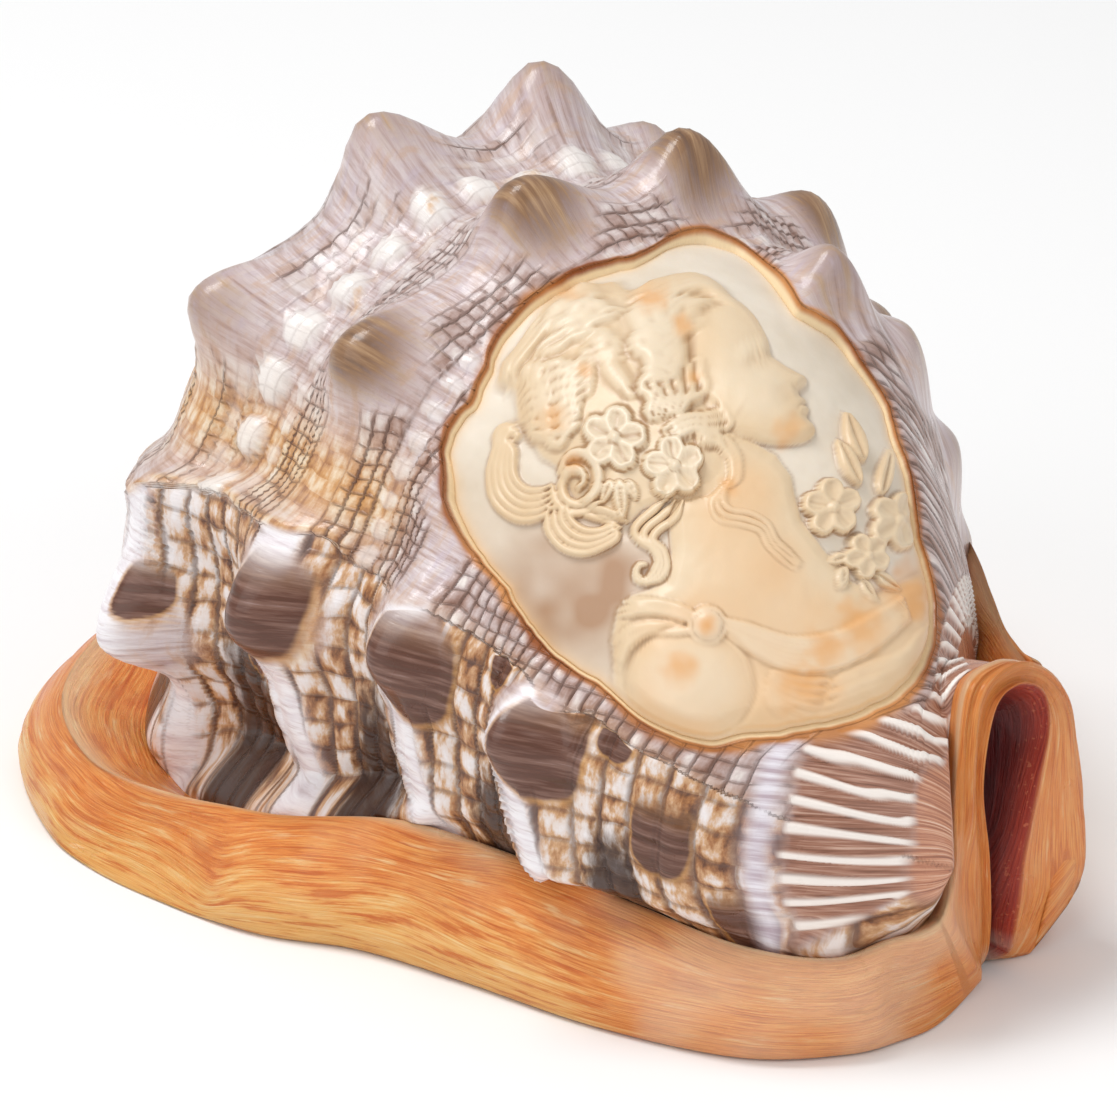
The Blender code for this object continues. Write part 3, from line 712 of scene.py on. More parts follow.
def grid_object(name, rings, attributes, material, tip=None):
    """Mesh of closed rings, with a point at the last ring's middle if tip is given."""
    count, lines = rings.shape[:2]
    points = (rings.reshape(-1, 3) - SHIFT) * MM
    total = len(points)
    i = np.arange(lines)
    j = (i + 1) % lines
    ring = np.arange(count - 1)[:, None] * lines
    corners = np.stack([ring + i, ring + lines + i, ring + lines + j, ring + j], axis=-1).ravel()
    starts = np.arange(0, len(corners), 4)
    if tip is not None:
        points = np.concatenate([points, (tip[None] - SHIFT) * MM])
        last = (count - 1) * lines
        fan = np.stack([last + i, np.full(lines, total), last + j], axis=-1)
        starts = np.concatenate([starts, len(corners) + np.arange(lines) * 3])
        corners = np.concatenate([corners, fan.ravel()])
    mesh = bpy.data.meshes.new(name)
    mesh.vertices.add(len(points))
    mesh.vertices.foreach_set("co", points.astype(np.float32).ravel())
    mesh.loops.add(len(corners))
    mesh.loops.foreach_set("vertex_index", corners.astype(np.int32))
    mesh.polygons.add(len(starts))
    mesh.polygons.foreach_set("loop_start", starts.astype(np.int32))
    mesh.update(calc_edges=True)
    mesh.polygons.foreach_set("use_smooth", np.ones(len(starts), bool))
    for key, values in attributes.items():
        flat = values.reshape(total, -1)
        if tip is not None:
            flat = np.concatenate([flat, flat[-1:]])
        kind, field = LAYER_KINDS[flat.shape[1]]
        layer = mesh.attributes.new(key, kind, "POINT")
        layer.data.foreach_set(field, flat.astype(np.float32).ravel())
    mesh.materials.append(material)
    return place_in_scene(name, mesh)


# The cameo's relief, in millimetres right of and above its middle as seen from the front, where the
# camera stands. RELIEF_RIGHT and RELIEF_UP are where that middle lies in the front view, from the middle
# of the view, and RELIEF_SCALE says how many of the view's units make 1 mm of carving.
RELIEF_RIGHT = 131.5
RELIEF_UP = 68.5
RELIEF_SCALE = 8.2

# A lock holds two guide strokes, how many strokes lie between them, half width, rise, size of its waves
# and how many there are
LOCKS = (
    # Front lock
    (((5.1, 21.9), (3.5, 24.6), (0, 25.7), (-3.3, 25.3), (-6.1, 23.9), (-7.3, 22.3)),
     ((4.1, 21.7), (2.4, 23), (0, 23.4), (-2.2, 22.8), (-4.5, 21.1), (-5.7, 19.9)), 4, 0.55, 0.8, 0.1, 2),
    # Crown
    (((-5.7, 23.4), (-6.9, 21.1), (-7.3, 18.7), (-6.9, 16.3), (-5.7, 14.2), (-5.3, 11.8)),
     ((3.3, 22.3), (0.8, 20.7), (0.6, 18.7), (-1.4, 16.9), (-0.6, 15), (-2.4, 12.6)),
     8, 0.56, 0.8, 0.34, 3),
    # Temple
    (((-5.7, 13.8), (-6.5, 11.8), (-5.7, 9.8), (-5.3, 7.7)),
     ((0.8, 15.4), (2.2, 12.6), (0.4, 10.2), (-1.6, 8.5)), 6, 0.56, 0.75, 0.22, 2),
    # Temple curl
    (((-3.7, 6.9), (-0.8, 8.5), (2, 9.1), (3.7, 9.6), (4.3, 8.5), (3.5, 7.6)),
     ((-2.4, 4.9), (0.4, 6.3), (2.8, 6.5), (4.5, 6.9), (4.5, 7.9), (3.6, 8)), 3, 0.5, 0.7, 0.05, 1),
    # Back
    (((-12.6, 15.4), (-15.4, 14.6), (-18.3, 15), (-20.5, 13.4)),
     ((-13.4, 6.9), (-15.4, 4.9), (-17.5, 4.9), (-19.5, 6.5)), 8, 0.56, 0.7, 0.26, 2),
    # Nape
    (((-17.7, 21.3), (-19.5, 19.3), (-21.1, 16.7), (-22.7, 15), (-23, 13), (-22, 12)),
     ((-17.1, 18.3), (-18.7, 16.7), (-19.9, 15), (-20.9, 13.8), (-22, 13.4), (-22.3, 12.6)),
     3, 0.5, 0.6, 0.06, 1),
    # Left volute
    (((-20.5, 6.3), (-21.7, 7.8), (-23.5, 7.2), (-23.8, 4.9), (-24.7, 1.6), (-24, -2), (-21.3, -4.1),
      (-18.3, -3.9), (-16.6, -2.5)),
     ((-21.2, 6), (-21.7, 6.6), (-22.3, 5.9), (-21.1, 4.5), (-21.1, 2), (-19.9, 0.4), (-18.3, 0.2),
      (-16.9, 0.8)), 5, 0.52, 0.85, 0, 1),
    # Low curl
    (((-17.5, -2.4), (-17.7, -5.1), (-15.9, -7.5), (-13, -8.2), (-10.2, -7.1), (-8.9, -6.1), (-8.9, -4.9),
      (-10, -5.1)),
     ((-14.6, -1.6), (-14.2, -3.3), (-12.8, -4.5), (-11, -4.7), (-9.8, -4.3), (-9.6, -4.9), (-9.8, -5.3),
      (-10, -5.5)), 4, 0.52, 0.8, 0, 1),
    # Strands under the flowers
    (((-7.3, -3.7), (-8.9, -2.8), (-10.6, -2.4), (-12.6, -2.4)),
     ((-8.9, -4.9), (-10.6, -4.1), (-12.2, -3.7), (-13.8, -2.8)), 2, 0.5, 0.6, 0.05, 1),
    # Short ringlet and its end
    (((-3.3, -1.2), (-5.3, -2.4), (-7.3, -4.5), (-6.7, -6.1), (-4.9, -7.1), (-4.1, -8.5), (-4.7, -10),
      (-5.7, -10.8)),
     ((-0.6, -1.6), (-1.2, -3.7), (-3.3, -5.1), (-4.1, -6.3), (-2.8, -7.7), (-2.8, -9.8), (-3.7, -11.2),
      (-5.3, -11.7)), 3, 0.55, 0.8, 0, 1),
    (((-5.7, -10.8), (-6.4, -10.2), (-6.2, -9.1), (-5.3, -9.3)),
     ((-5.3, -11.7), (-6.7, -11.2), (-6.6, -9.6), (-5.5, -8.9)), 2, 0.4, 0.6, 0, 1),
    # Long ringlet
    (((3.3, 0), (2, -2), (2.8, -4.3), (5.7, -4.9), (7.9, -5.5), (8.9, -7.3), (11, -9.3), (12.4, -10)),
     ((4.9, 1.2), (4.1, -1.2), (4.9, -2.4), (7.3, -2.8), (9.3, -4.1), (10.2, -6.1), (12, -7.7), (13, -8.9)),
     3, 0.5, 0.75, 0, 1),
    # Side lock
    (((0.8, 4.9), (3, 4.9), (4.5, 3.3), (4.5, 0.8), (3.7, -0.4)),
     ((0.4, 6.5), (3.7, 6.3), (5.7, 4.1), (5.9, 1.2), (4.9, 0)), 3, 0.5, 0.7, 0, 1),
    # Middle volute
    (((-16.1, 2), (-14.8, 3.9), (-12.6, 4), (-10.9, 1.8), (-11.2, -0.8), (-13.4, -2.3), (-15.5, -1.4),
      (-15.9, 0.6), (-14.8, 2.2), (-13.2, 2.2), (-12.5, 0.6), (-13.5, -0.4)),
     ((-15.6, 1.4), (-14.6, 3.3), (-12.7, 3.4), (-11.5, 1.8), (-11.7, -0.3), (-13.4, -1.7), (-14.9, -1),
      (-15.3, 0.6), (-14.6, 1.6), (-13.3, 1.6), (-13, 0.8), (-13.6, 0.2)), 2, 0.45, 0.95, 0, 1),
    (((-16.9, 0.4), (-16.6, -1.6), (-15, -3), (-13, -3), (-11, -2)),
     ((-16.4, 0.4), (-16.1, -1.4), (-14.8, -2.5), (-13, -2.5), (-11.2, -1.6)), 2, 0.4, 0.7, 0, 1),
)

# Five-petal flowers: middle, radius, turn in degrees, rise
FLOWERS = (
    (-9.3, 5.5, 3.9, 80, 1.25),
    (-2.2, 2.2, 3.7, 100, 1.25),
    (-13.8, 21.0, 3.9, 60, 1.1),
    (17, -2.3, 3.6, 95, 1.05),
    (24.9, -3.9, 3.6, 70, 1.05),
    (21.2, -8.1, 2.9, 120, 0.95),
)

# Leaves: stalk end, tip, half width, rise
LEAVES = (
    ((-8.7, 0.8), (-8.2, -3.9), 0.95, 0.9),
    ((-9.6, 0.8), (-10.8, -2), 0.7, 0.8),
    ((-7.7, 0.8), (-6.5, -1.6), 0.7, 0.8),
    ((-12.8, 16.7), (-12.2, 10.2), 1, 0.9),
    ((-11.4, 16.3), (-6.9, 10.2), 1.1, 0.9),
    ((-12.2, 18.3), (-7.9, 15), 1.5, 1.0),
    ((-14.2, 17.9), (-18.7, 15.4), 1.3, 0.95),
    ((-15.4, 19.5), (-18.1, 18.3), 0.9, 0.9),
    ((-11.4, 19.5), (-8.3, 21.1), 1, 0.9),
    ((-8.9, 23.2), (-9.6, 25.4), 0.7, 0.7),
    ((20.9, 3.3), (18.6, 9.4), 1.35, 0.9),
    ((20.5, 0.4), (17.6, 6.1), 1.15, 0.85),
    ((23, -0.8), (24.1, 4.9), 1.1, 0.8),
    ((18.7, -8.1), (16.7, -8.9), 0.8, 0.7),
    ((18.7, -9.3), (17.7, -12.2), 0.9, 0.7),
    ((22.4, -10.2), (25.2, -12.2), 0.9, 0.7),
    ((20.7, -11), (22.4, -13.8), 0.8, 0.65),
)

# Folds of the drapery, held like the locks
FOLDS = (
    # Strap
    (((-7.9, -13.2), (-4.9, -13.4), (-1.6, -14.1), (0.8, -15.4)),
     ((-8.9, -15.9), (-5.7, -15), (-2.4, -15.4), (0.4, -16.5)), 3, 0.6, 0.6, 0, 1),
    # Top of the sleeve
    (((-9.4, -17.9), (-6.9, -16.3), (-3.3, -16.3), (0.2, -17)),
     ((-8.9, -22.8), (-7.7, -19.5), (-4.9, -17.5), (-0.4, -17.5)), 3, 0.55, 0.55, 0, 1),
    # Neckline
    (((3.3, -15.4), (7.3, -16.7), (12.2, -18), (17.1, -17.4), (21.5, -15.4), (25.2, -13)),
     ((3.5, -17.3), (6.9, -19.5), (11.4, -21.7), (16.3, -21.7), (20.7, -19.9), (26, -15.9)),
     6, 0.6, 0.6, 0, 1),
    # Long folds at the right
    (((16.7, -22.8), (20.7, -21.1), (25.2, -19.5), (28.5, -15.9)),
     ((15.4, -29.7), (19.5, -28.5), (24.4, -25.2), (28, -21.1)), 5, 0.9, 0.35, 0.1, 1),
    # Folded cloth
    (((9.6, -21.7), (12.2, -22.4), (14.6, -22.6), (16.5, -22.4)),
     ((8.9, -24), (9.3, -26), (11.4, -28), (14.2, -29.3)), 6, 0.5, 0.35, 0, 1),
)

HAIR_OUTLINE = (
    (4.9, 22), (3.3, 24.6), (0.4, 25.8), (-3.3, 25.5), (-7.3, 24.2), (-9.6, 25.2), (-11.4, 24.8),
    (-14.6, 24.8), (-17.7, 23), (-19.5, 19.9), (-21.3, 16.9), (-23, 14.8), (-23.1, 12.6), (-21.3, 11.6),
    (-21.1, 8.1), (-19.5, 5.9), (-18.1, 3.7), (-16.3, 2.6), (-14.2, -1), (-10.6, -3.7), (-7.3, -4.1),
    (-5.7, -2.4), (-3.3, -1.6), (-0.6, -1.6), (2.8, -0.8), (5.1, 0.8), (5.1, 3.7), (4.1, 6.5), (4.1, 8.9),
    (2.2, 10.6), (0.8, 13.4), (0.4, 16.7), (0.8, 19.9), (2.8, 21.3),
)
BUST_OUTLINE = (
    (10.5, 4.2), (12.4, 1.6), (12.8, -0.8), (13.6, -3.7), (16.3, -7.3), (19.5, -11), (22.4, -12.6),
    (28.5, -9.8), (34, -12), (34, -36), (6.9, -36), (-7, -34), (-10, -28), (-9.4, -22), (-9.6, -17.9),
    (-8.9, -14.6), (-7.3, -12.8), (-5.3, -12.2), (-3.3, -11), (-2.4, -7.7), (-2.8, -2.8), (0, 4), (4, 8),
)
# Ochre stains: middle and size
STAINS = (
    (-1.3, 19.0, 1.6), (0.1, 12.9, 1.3), (-12.6, 13.4, 1.0),
    (-14.0, 2.7, 1.4), (4.3, 0.2, 1.5), (-1.3, -21.5, 2.4),
    (-14.5, 23.8, 2.2), (-16.5, 8.0, 2.0), (13.5, -23.5, 4.2), (20.0, -16.5, 3.5), (15.5, -19.5, 3.0),
    (27.0, -12.5, 4.0), (11.5, 7.0, 2.0), (1.8, -16.5, 1.6), (-5.0, 22.0, 2.5),
)
# Painted brown shade on the ground behind the neck: middle, stretch across and up, reach
DUSK = (-13.0, -13.0, 1.15, 0.9, 9.0)
# Puffed sleeve: middle and half sizes. Brooch: middle and radius.
SLEEVE = (-0.2, -23.6, 7.4, 6.8)
BROOCH = (1.8, -16.5, 1.75)

# A calm, regular face in its own axes, chin at the origin: x forward, y up, thirds of 6 mm
FACE_ORIGIN = (15.4, 6.5)
FACE_TILT = 27.0
FACE_OUTLINE = (
    (-3.2, 20.8), (-1.4, 19.4), (-0.4, 17.4), (0.0, 15.2), (0.0, 13.2), (-0.3, 12.0), (-0.6, 11.2),
    (0.1, 9.8),
    (1.1, 8.2), (2.0, 6.95), (1.9, 6.35), (1.2, 6.0), (0.35, 5.75), (0.35, 5.1), (0.8, 4.6), (0.75, 4.25),
    (0.2, 3.98), (0.65, 3.7), (0.55, 3.2), (-0.05, 2.75), (-0.1, 2.2), (0.2, 1.5), (0.05, 0.6), (-0.8, 0.0),
    (-2.5, 0.1), (-5.0, 1.2), (-8.0, 3.4), (-10.5, 6.5), (-11.5, 12.0), (-9.0, 18.0), (-6.0, 20.5),
)
FACE_FORMS = (
    # Middle x, y, radii, rise: cheek, brow, eye socket, eyeball, wing of the nose, nostril, lips, chin
    (-5.0, 7.0, 4.2, 4.4, 0.45),
    (-2.4, 12.4, 2.6, 0.8, 0.22),
    (-2.4, 10.9, 1.9, 1.0, -0.4),
    (-2.5, 10.8, 1.15, 0.6, 0.32),
    (0.35, 6.6, 0.85, 0.75, 0.22),
    (0.75, 6.1, 0.4, 0.25, -0.2),
    (-0.1, 4.45, 0.9, 0.38, 0.16),
    (-0.1, 3.45, 0.85, 0.42, 0.18),
    (-0.9, 1.3, 1.2, 1.1, 0.15),
)
FACE_LINES = (
    # Upper lid, lower lid, brow, mouth, wing of the nose
    (((-1.2, 10.9), (-2.1, 11.5), (-3.2, 11.4), (-4.0, 10.8)), 0.17, 0.2),
    (((-1.4, 10.6), (-2.3, 10.2), (-3.3, 10.3), (-3.9, 10.7)), 0.15, 0.12),
    (((-0.8, 12.0), (-2.2, 12.9), (-3.8, 12.9), (-5.0, 12.3)), 0.3, 0.14),
    (((0.3, 3.98), (-0.4, 4.05), (-1.0, 3.95), (-1.35, 3.8)), 0.16, -0.25),
    (((0.6, 7.2), (-0.2, 7.0), (-0.5, 6.5), (-0.1, 6.0)), 0.15, -0.16),
)


# Below any relief, for where a form isn't
NOTHING = -9


def inside_depth(x, y, outline):
    """Distance to a closed outline, positive inside."""
    table = np.array(outline, float)
    after = np.roll(table, -1, axis=0)
    best = np.full(x.shape, 1e9)
    inside = np.zeros(x.shape, bool)
    for (ax, ay), (bx, by) in zip(table, after):
        dx, dy = bx - ax, by - ay
        t = np.clip(((x - ax) * dx + (y - ay) * dy) / (dx * dx + dy * dy), 0, 1)
        best = np.minimum(best, np.hypot(x - ax - t * dx, y - ay - t * dy))
        if ay != by:
            crosses = (ay > y) != (by > y)
            inside ^= crosses & (x < ax + (y - ay) / (by - ay) * dx)
    return np.where(inside, best, -best)


def resampled(points, count):
    """Points at even steps along a smooth curve through the given ones."""
    points = np.array(points, float)
    u = np.linspace(0, len(points) - 1, 20 * len(points))
    i = np.clip(np.floor(u).astype(int), 0, len(points) - 2)
    last = len(points) - 1
    a, b, c, d = (points[np.clip(i + k, 0, last)] for k in (-1, 0, 1, 2))
    fine = spline_step(a, b, c, d, (u - i)[:, None])
    run = np.concatenate([[0], np.cumsum(np.linalg.norm(np.diff(fine, axis=0), axis=1))])
    even = np.linspace(0, run[-1], count)
    return np.stack([np.interp(even, run, fine[:, 0]), np.interp(even, run, fine[:, 1])], axis=1), run[-1]


STROKE_POINTS = 26


def add_stroke(height, x, y, path, half, rise, base):
    """Raises height to a rounded, tapering stroke along the path, or cuts it in where rise is below 0."""
    low = path.min(axis=0) - half
    high = path.max(axis=0) + half
    near = (x > low[0]) & (x < high[0]) & (y > low[1]) & (y < high[1])
    px, py = x[near], y[near]
    best = np.full(px.shape, 1e9)
    place = np.zeros(px.shape)
    last = len(path) - 1
    for k in range(last):
        ax, ay = path[k]
        dx, dy = path[k + 1] - path[k]
        t = np.clip(((px - ax) * dx + (py - ay) * dy) / max(dx * dx + dy * dy, 1e-9), 0, 1)
        away = np.hypot(px - ax - t * dx, py - ay - t * dy)
        closer = away < best
        best = np.where(closer, away, best)
        place = np.where(closer, (k + t) / last, place)
    width = half * np.clip(np.minimum(place, 1 - place) * 7, 0.25, 1) ** 0.7
    if rise > 0:
        stroke = base[near] + rise * dome(best / width)
        height[near] = np.maximum(height[near], np.where(best < width, stroke, NOTHING))
    else:
        height[near] += rise * dome(best / width)


def add_family(height, x, y, family, base):
    """Adds the strokes that lie between a lock's or fold's two guides."""
    first, second, count, half, rise, wave, waves = family
    a, _ = resampled(first, STROKE_POINTS)
    b, _ = resampled(second, STROKE_POINTS)
    t = np.linspace(0, 1, STROKE_POINTS)[:, None]
    for k in range(count):
        share = (k + 0.5) / count
        path = a + (b - a) * share
        side = np.gradient(path, axis=0)
        side = unit(np.stack([-side[:, 1], side[:, 0]], axis=1))
        swing = wave * np.sin(2 * math.pi * waves * t + 0.3 * k) * np.sin(math.pi * t) ** 0.5
        low = 0.12 * lattice(k, count, 61)
        add_stroke(height, x, y, path + side * swing * 1.6, half, rise * (1 - low), base)


def add_flower(height, x, y, flower, base):
    """Adds five notched petals round a domed middle."""
    cx, cy, radius, turn, rise = flower
    level = base + rise * 0.35
    for k in range(5):
        angle = math.radians(turn + 72 * k)
        dx = x - cx - 0.56 * radius * math.cos(angle)
        dy = y - cy - 0.56 * radius * math.sin(angle)
        out = (dx * math.cos(angle) + dy * math.sin(angle)) / (0.47 * radius)
        side = (dy * math.cos(angle) - dx * math.sin(angle)) / (0.43 * radius)
        notch = 0.10 * bump(side, 0.25) * smooth(out * 1.2)
        q = np.hypot(out, side) + notch
        veins = 0.07 * np.cos(side * 9) * (1 - smooth((q - 0.6) / 0.3))
        petal = rise * (0.50 + 0.50 * np.clip(q, 0, 1) ** 2 - 0.25 * bump(side, 0.18) * (out < 0.6)) + veins
        petal = petal * np.sqrt(np.clip((1 - q) * 5, 0, 1))
        np.maximum(height, np.where(q < 1, level + petal, NOTHING), out=height)
    away = np.hypot(x - cx, y - cy)
    middle = away / (0.2 * radius)
    pit = bump(away / (0.32 * radius), 0.6)
    height -= 0.25 * rise * pit * (height > base + 0.2)
    button = level + rise * (0.35 + 0.75 * dome(middle))
    np.maximum(height, np.where(middle < 1, button, NOTHING), out=height)


def add_leaf(height, x, y, leaf, base):
    """Adds a pointed leaf with a sunk midrib and slanting veins."""
    (ax, ay), (bx, by), half, rise = leaf
    length = math.hypot(bx - ax, by - ay)
    ux, uy = (bx - ax) / length, (by - ay) / length
    along = ((x - ax) * ux + (y - ay) * uy) / length
    side = (y - ay) * ux - (x - ax) * uy
    width = half * np.maximum(np.sin(math.pi * np.clip(along, 0, 1) ** 0.8), 0) ** 0.75
    inside = (along > 0) & (along < 1) & (np.abs(side) < width)
    q = np.abs(side) / np.maximum(width, 1e-6)
    veins = 0.05 * np.cos((along * length - 0.6 * np.abs(side)) * 9) * (q > 0.15)
    top = rise * (0.55 + 0.45 * np.sin(math.pi * np.clip(q, 0, 1))) - 0.28 * bump(side, 0.13) + veins
    top = top * np.clip((1 - q) * 3.5, 0, 1) ** 0.5
    np.maximum(height, np.where(inside, base + 0.15 + top, NOTHING), out=height)


def face_relief(x, y):
    """Height of the face above the bust, and depth inside its outline."""
    tilt = math.radians(FACE_TILT)
    dx = x - FACE_ORIGIN[0]
    dy = y - FACE_ORIGIN[1]
    fx = dx * math.cos(tilt) + dy * math.sin(tilt)
    fy = dy * math.cos(tilt) - dx * math.sin(tilt)
    outline, _ = resampled(FACE_OUTLINE + FACE_OUTLINE[:1], 160)
    depth = inside_depth(fx, fy, outline[:-1])
    face = 1.15 * np.sqrt(np.clip(depth / 1.3, 0, 1)) + 0.55 * smooth(depth / 5)
    for mx, my, rx, ry, rise in FACE_FORMS:
        q = ((fx - mx) / rx) ** 2 + ((fy - my) / ry) ** 2
        face = face + rise * np.exp(-1.2 * q) * smooth(depth / 0.5)
    level = face.copy()
    for path, half, rise in FACE_LINES:
        add_stroke(face, fx, fy, resampled(path, 14)[0], half, rise, level)
    return np.where(depth > 0, face + 0.1, 0), depth


def relief(x, y):
    """Height of the carving above the cameo's ground, and depths inside the bust and the hair."""
    bust_depth = inside_depth(x, y, BUST_OUTLINE)
    bust = 1.05 * np.sqrt(np.clip(bust_depth / 1.6, 0, 1)) + 0.35 * smooth(bust_depth / 8)
    face, _ = face_relief(x, y)
    height = np.maximum(bust, face)
    # Hair
    hair_depth = inside_depth(x, y, HAIR_OUTLINE)
    hair_base = np.where(hair_depth > 0, 0.75 * np.sqrt(np.clip(hair_depth, 0, 1)), 0)
    hair_base = hair_base + 0.75 * smooth(hair_depth / 6)
    under = np.maximum(hair_base, 0.55 * height)
    height = np.where(hair_depth > 0, np.maximum(height * 0.75, hair_base), height)
    for family in LOCKS:
        add_family(height, x, y, family, under + 0.2)
    # Drapery
    sx, sy, rx, ry = SLEEVE
    sleeve = 1 - ((x - sx) / rx) ** 2 - ((y - sy) / ry) ** 2
    rim = bump(np.sqrt(np.maximum(1 - sleeve, 0)) - 1.06, 0.06)
    puff = 1.1 + 1.1 * np.sqrt(np.maximum(sleeve, 0)) ** 1.3
    cloth = np.where(sleeve > 0, np.maximum(height, puff), height - 0.35 * rim)
    height = np.where(y < -12, cloth, height)
    folded = np.minimum(height, 1.5)
    for family in FOLDS:
        add_family(height, x, y, family, folded)
    cx, cy, radius = BROOCH
    away = np.hypot(x - cx, y - cy) / radius
    button = np.maximum(height, 2.0 + 0.55 * dome(away))
    collar = np.maximum(height, 1.75 + 0.2 * bump(away - 1.15, 0.12))
    height = np.where(away < 1, button, np.where(away < 1.35, collar, height))
    # Flowers and leaves
    level = np.maximum(0.25, np.minimum(height, 1.25) - 0.1)
    for leaf in LEAVES:
        add_leaf(height, x, y, leaf, level)
    for flower in FLOWERS:
        add_flower(height, x, y, flower, level)
    return height, bust_depth, hair_depth


# Materials. Each stop of a ramp is its place, red, green and blue.

# Body
RIDGES = (
    (0.28, 0.36, 0.24, 0.20), (0.42, 0.52, 0.39, 0.37), (0.56, 0.66, 0.56, 0.56), (0.74, 0.80, 0.74, 0.75),
)
LILAC = (0.55, 0.46, 0.52)
FAWN = (0.60, 0.40, 0.28)
DARK_LINES = (0.30, 0.19, 0.155)
BEADS = (
    (0.36, 0.34, 0.20, 0.155), (0.50, 0.48, 0.35, 0.32), (0.64, 0.62, 0.52, 0.50), (0.82, 0.80, 0.74, 0.71),
)
BROWN_BEADS = (
    (0.38, 0.23, 0.115, 0.080), (0.54, 0.39, 0.25, 0.21), (0.68, 0.57, 0.45, 0.43), (0.84, 0.84, 0.77, 0.72),
)
STAINED = (
    (0.38, 0.34, 0.13, 0.03), (0.54, 0.62, 0.31, 0.10), (0.70, 0.80, 0.60, 0.38), (0.88, 0.90, 0.82, 0.72),
)
CHECKS = (
    (0.42, 0.12, 0.040, 0.016), (0.51, 0.40, 0.170, 0.060), (0.59, 0.64, 0.38, 0.20),
    (0.67, 0.80, 0.69, 0.63), (0.8, 0.86, 0.81, 0.81),
)
WHITE_RIBS = ((0.30, 0.62, 0.53, 0.55), (0.42, 0.80, 0.74, 0.77), (0.55, 0.91, 0.88, 0.90))
RIB_LINES = (0.46, 0.34, 0.31)
IVORY_BEAD = (0.90, 0.86, 0.82)
OCHRE_BEAD = (0.76, 0.44, 0.16)
# Painted shade for the gaps between the cords and beads
GROOVE_SHADE = (0.16, 0.085, 0.062)
KNOB_TIPS = ((0.3, 0.10, 0.046, 0.020), (0.5, 0.25, 0.130, 0.058), (0.72, 0.46, 0.28, 0.14))
# Dark of the hollows between the ribs: partly brown, partly painted shade
HOLLOW_SHADE_BROWN = (0.040, 0.013, 0.006)
PATCH_HALO = ((0.3, 0.32, 0.12, 0.02), (0.7, 0.62, 0.34, 0.12))
PATCH_BROWN = (
    (0.30, 0.045, 0.012, 0.006), (0.48, 0.105, 0.036, 0.022), (0.62, 0.20, 0.100, 0.075),
    (0.76, 0.34, 0.23, 0.21),
)
NECK_PLUM = (
    (0.3, 0.24, 0.085, 0.045), (0.46, 0.44, 0.17, 0.09), (0.56, 0.60, 0.28, 0.16), (0.7, 0.78, 0.55, 0.42),
)
BETWEEN_RIBLETS = ((0.3, 0.16, 0.058, 0.030), (0.5, 0.36, 0.165, 0.105), (0.7, 0.60, 0.38, 0.29))
RIBLET_WHITE = (0.90, 0.82, 0.76)
PALE_BAND = ((0.35, 0.52, 0.42, 0.48), (0.6, 0.85, 0.82, 0.88))
RUSTY_RING = ((0.35, 0.28, 0.075, 0.014), (0.7, 0.62, 0.26, 0.08))
CUT_WALL = (0.90, 0.72, 0.46)

# Lip
ORANGE = (
    (0.28, 0.46, 0.075, 0.010), (0.42, 0.74, 0.19, 0.032), (0.55, 0.88, 0.33, 0.075),
    (0.72, 0.94, 0.54, 0.20),
)
HONEY = ((0.3, 0.74, 0.27, 0.050), (0.5, 0.91, 0.48, 0.14), (0.7, 0.96, 0.70, 0.34))
PALE_STREAKS = (0.97, 0.74, 0.42)
RED_STREAKS = (0.60, 0.125, 0.020)
LIGHT_FOLDS = (0.95, 0.60, 0.24)
LIP_BLOOM = (0.96, 0.84, 0.64)
WORN_EDGE = (0.96, 0.74, 0.46)
# Canal red that goes almost black further in: partly painted shade
CANAL_RED_INTO_SHADE = ((0.3, 0.035, 0.0, 0.0), (0.55, 0.09, 0.001, 0.001), (0.8, 0.16, 0.006, 0.003))
CANAL_RED = ((0.3, 0.22, 0.010, 0.004), (0.55, 0.38, 0.030, 0.010), (0.8, 0.58, 0.10, 0.03))
RED_GRAINS = (0.55, 0.12, 0.05)
TEETH = (0.90, 0.80, 0.66)
LINING = ((0.3, 0.64, 0.40, 0.26), (0.7, 0.84, 0.66, 0.50))

# Cameo
GROUND = ((0.3, 0.70, 0.60, 0.47), (0.7, 0.84, 0.76, 0.65))
GROUND_SHADE_BROWN = (0.36, 0.17, 0.070)
CARVING = ((0.3, 0.72, 0.52, 0.31), (0.7, 0.78, 0.63, 0.44))
SKIN = (0.78, 0.50, 0.27)
CARVING_TOPS = (0.84, 0.76, 0.62)
# Painted shade for the hollows of the carving
CARVING_HOLLOW_SHADE = (0.36, 0.19, 0.08)
STAIN = (0.74, 0.33, 0.075)
RIM_GLOW = (0.86, 0.54, 0.23)


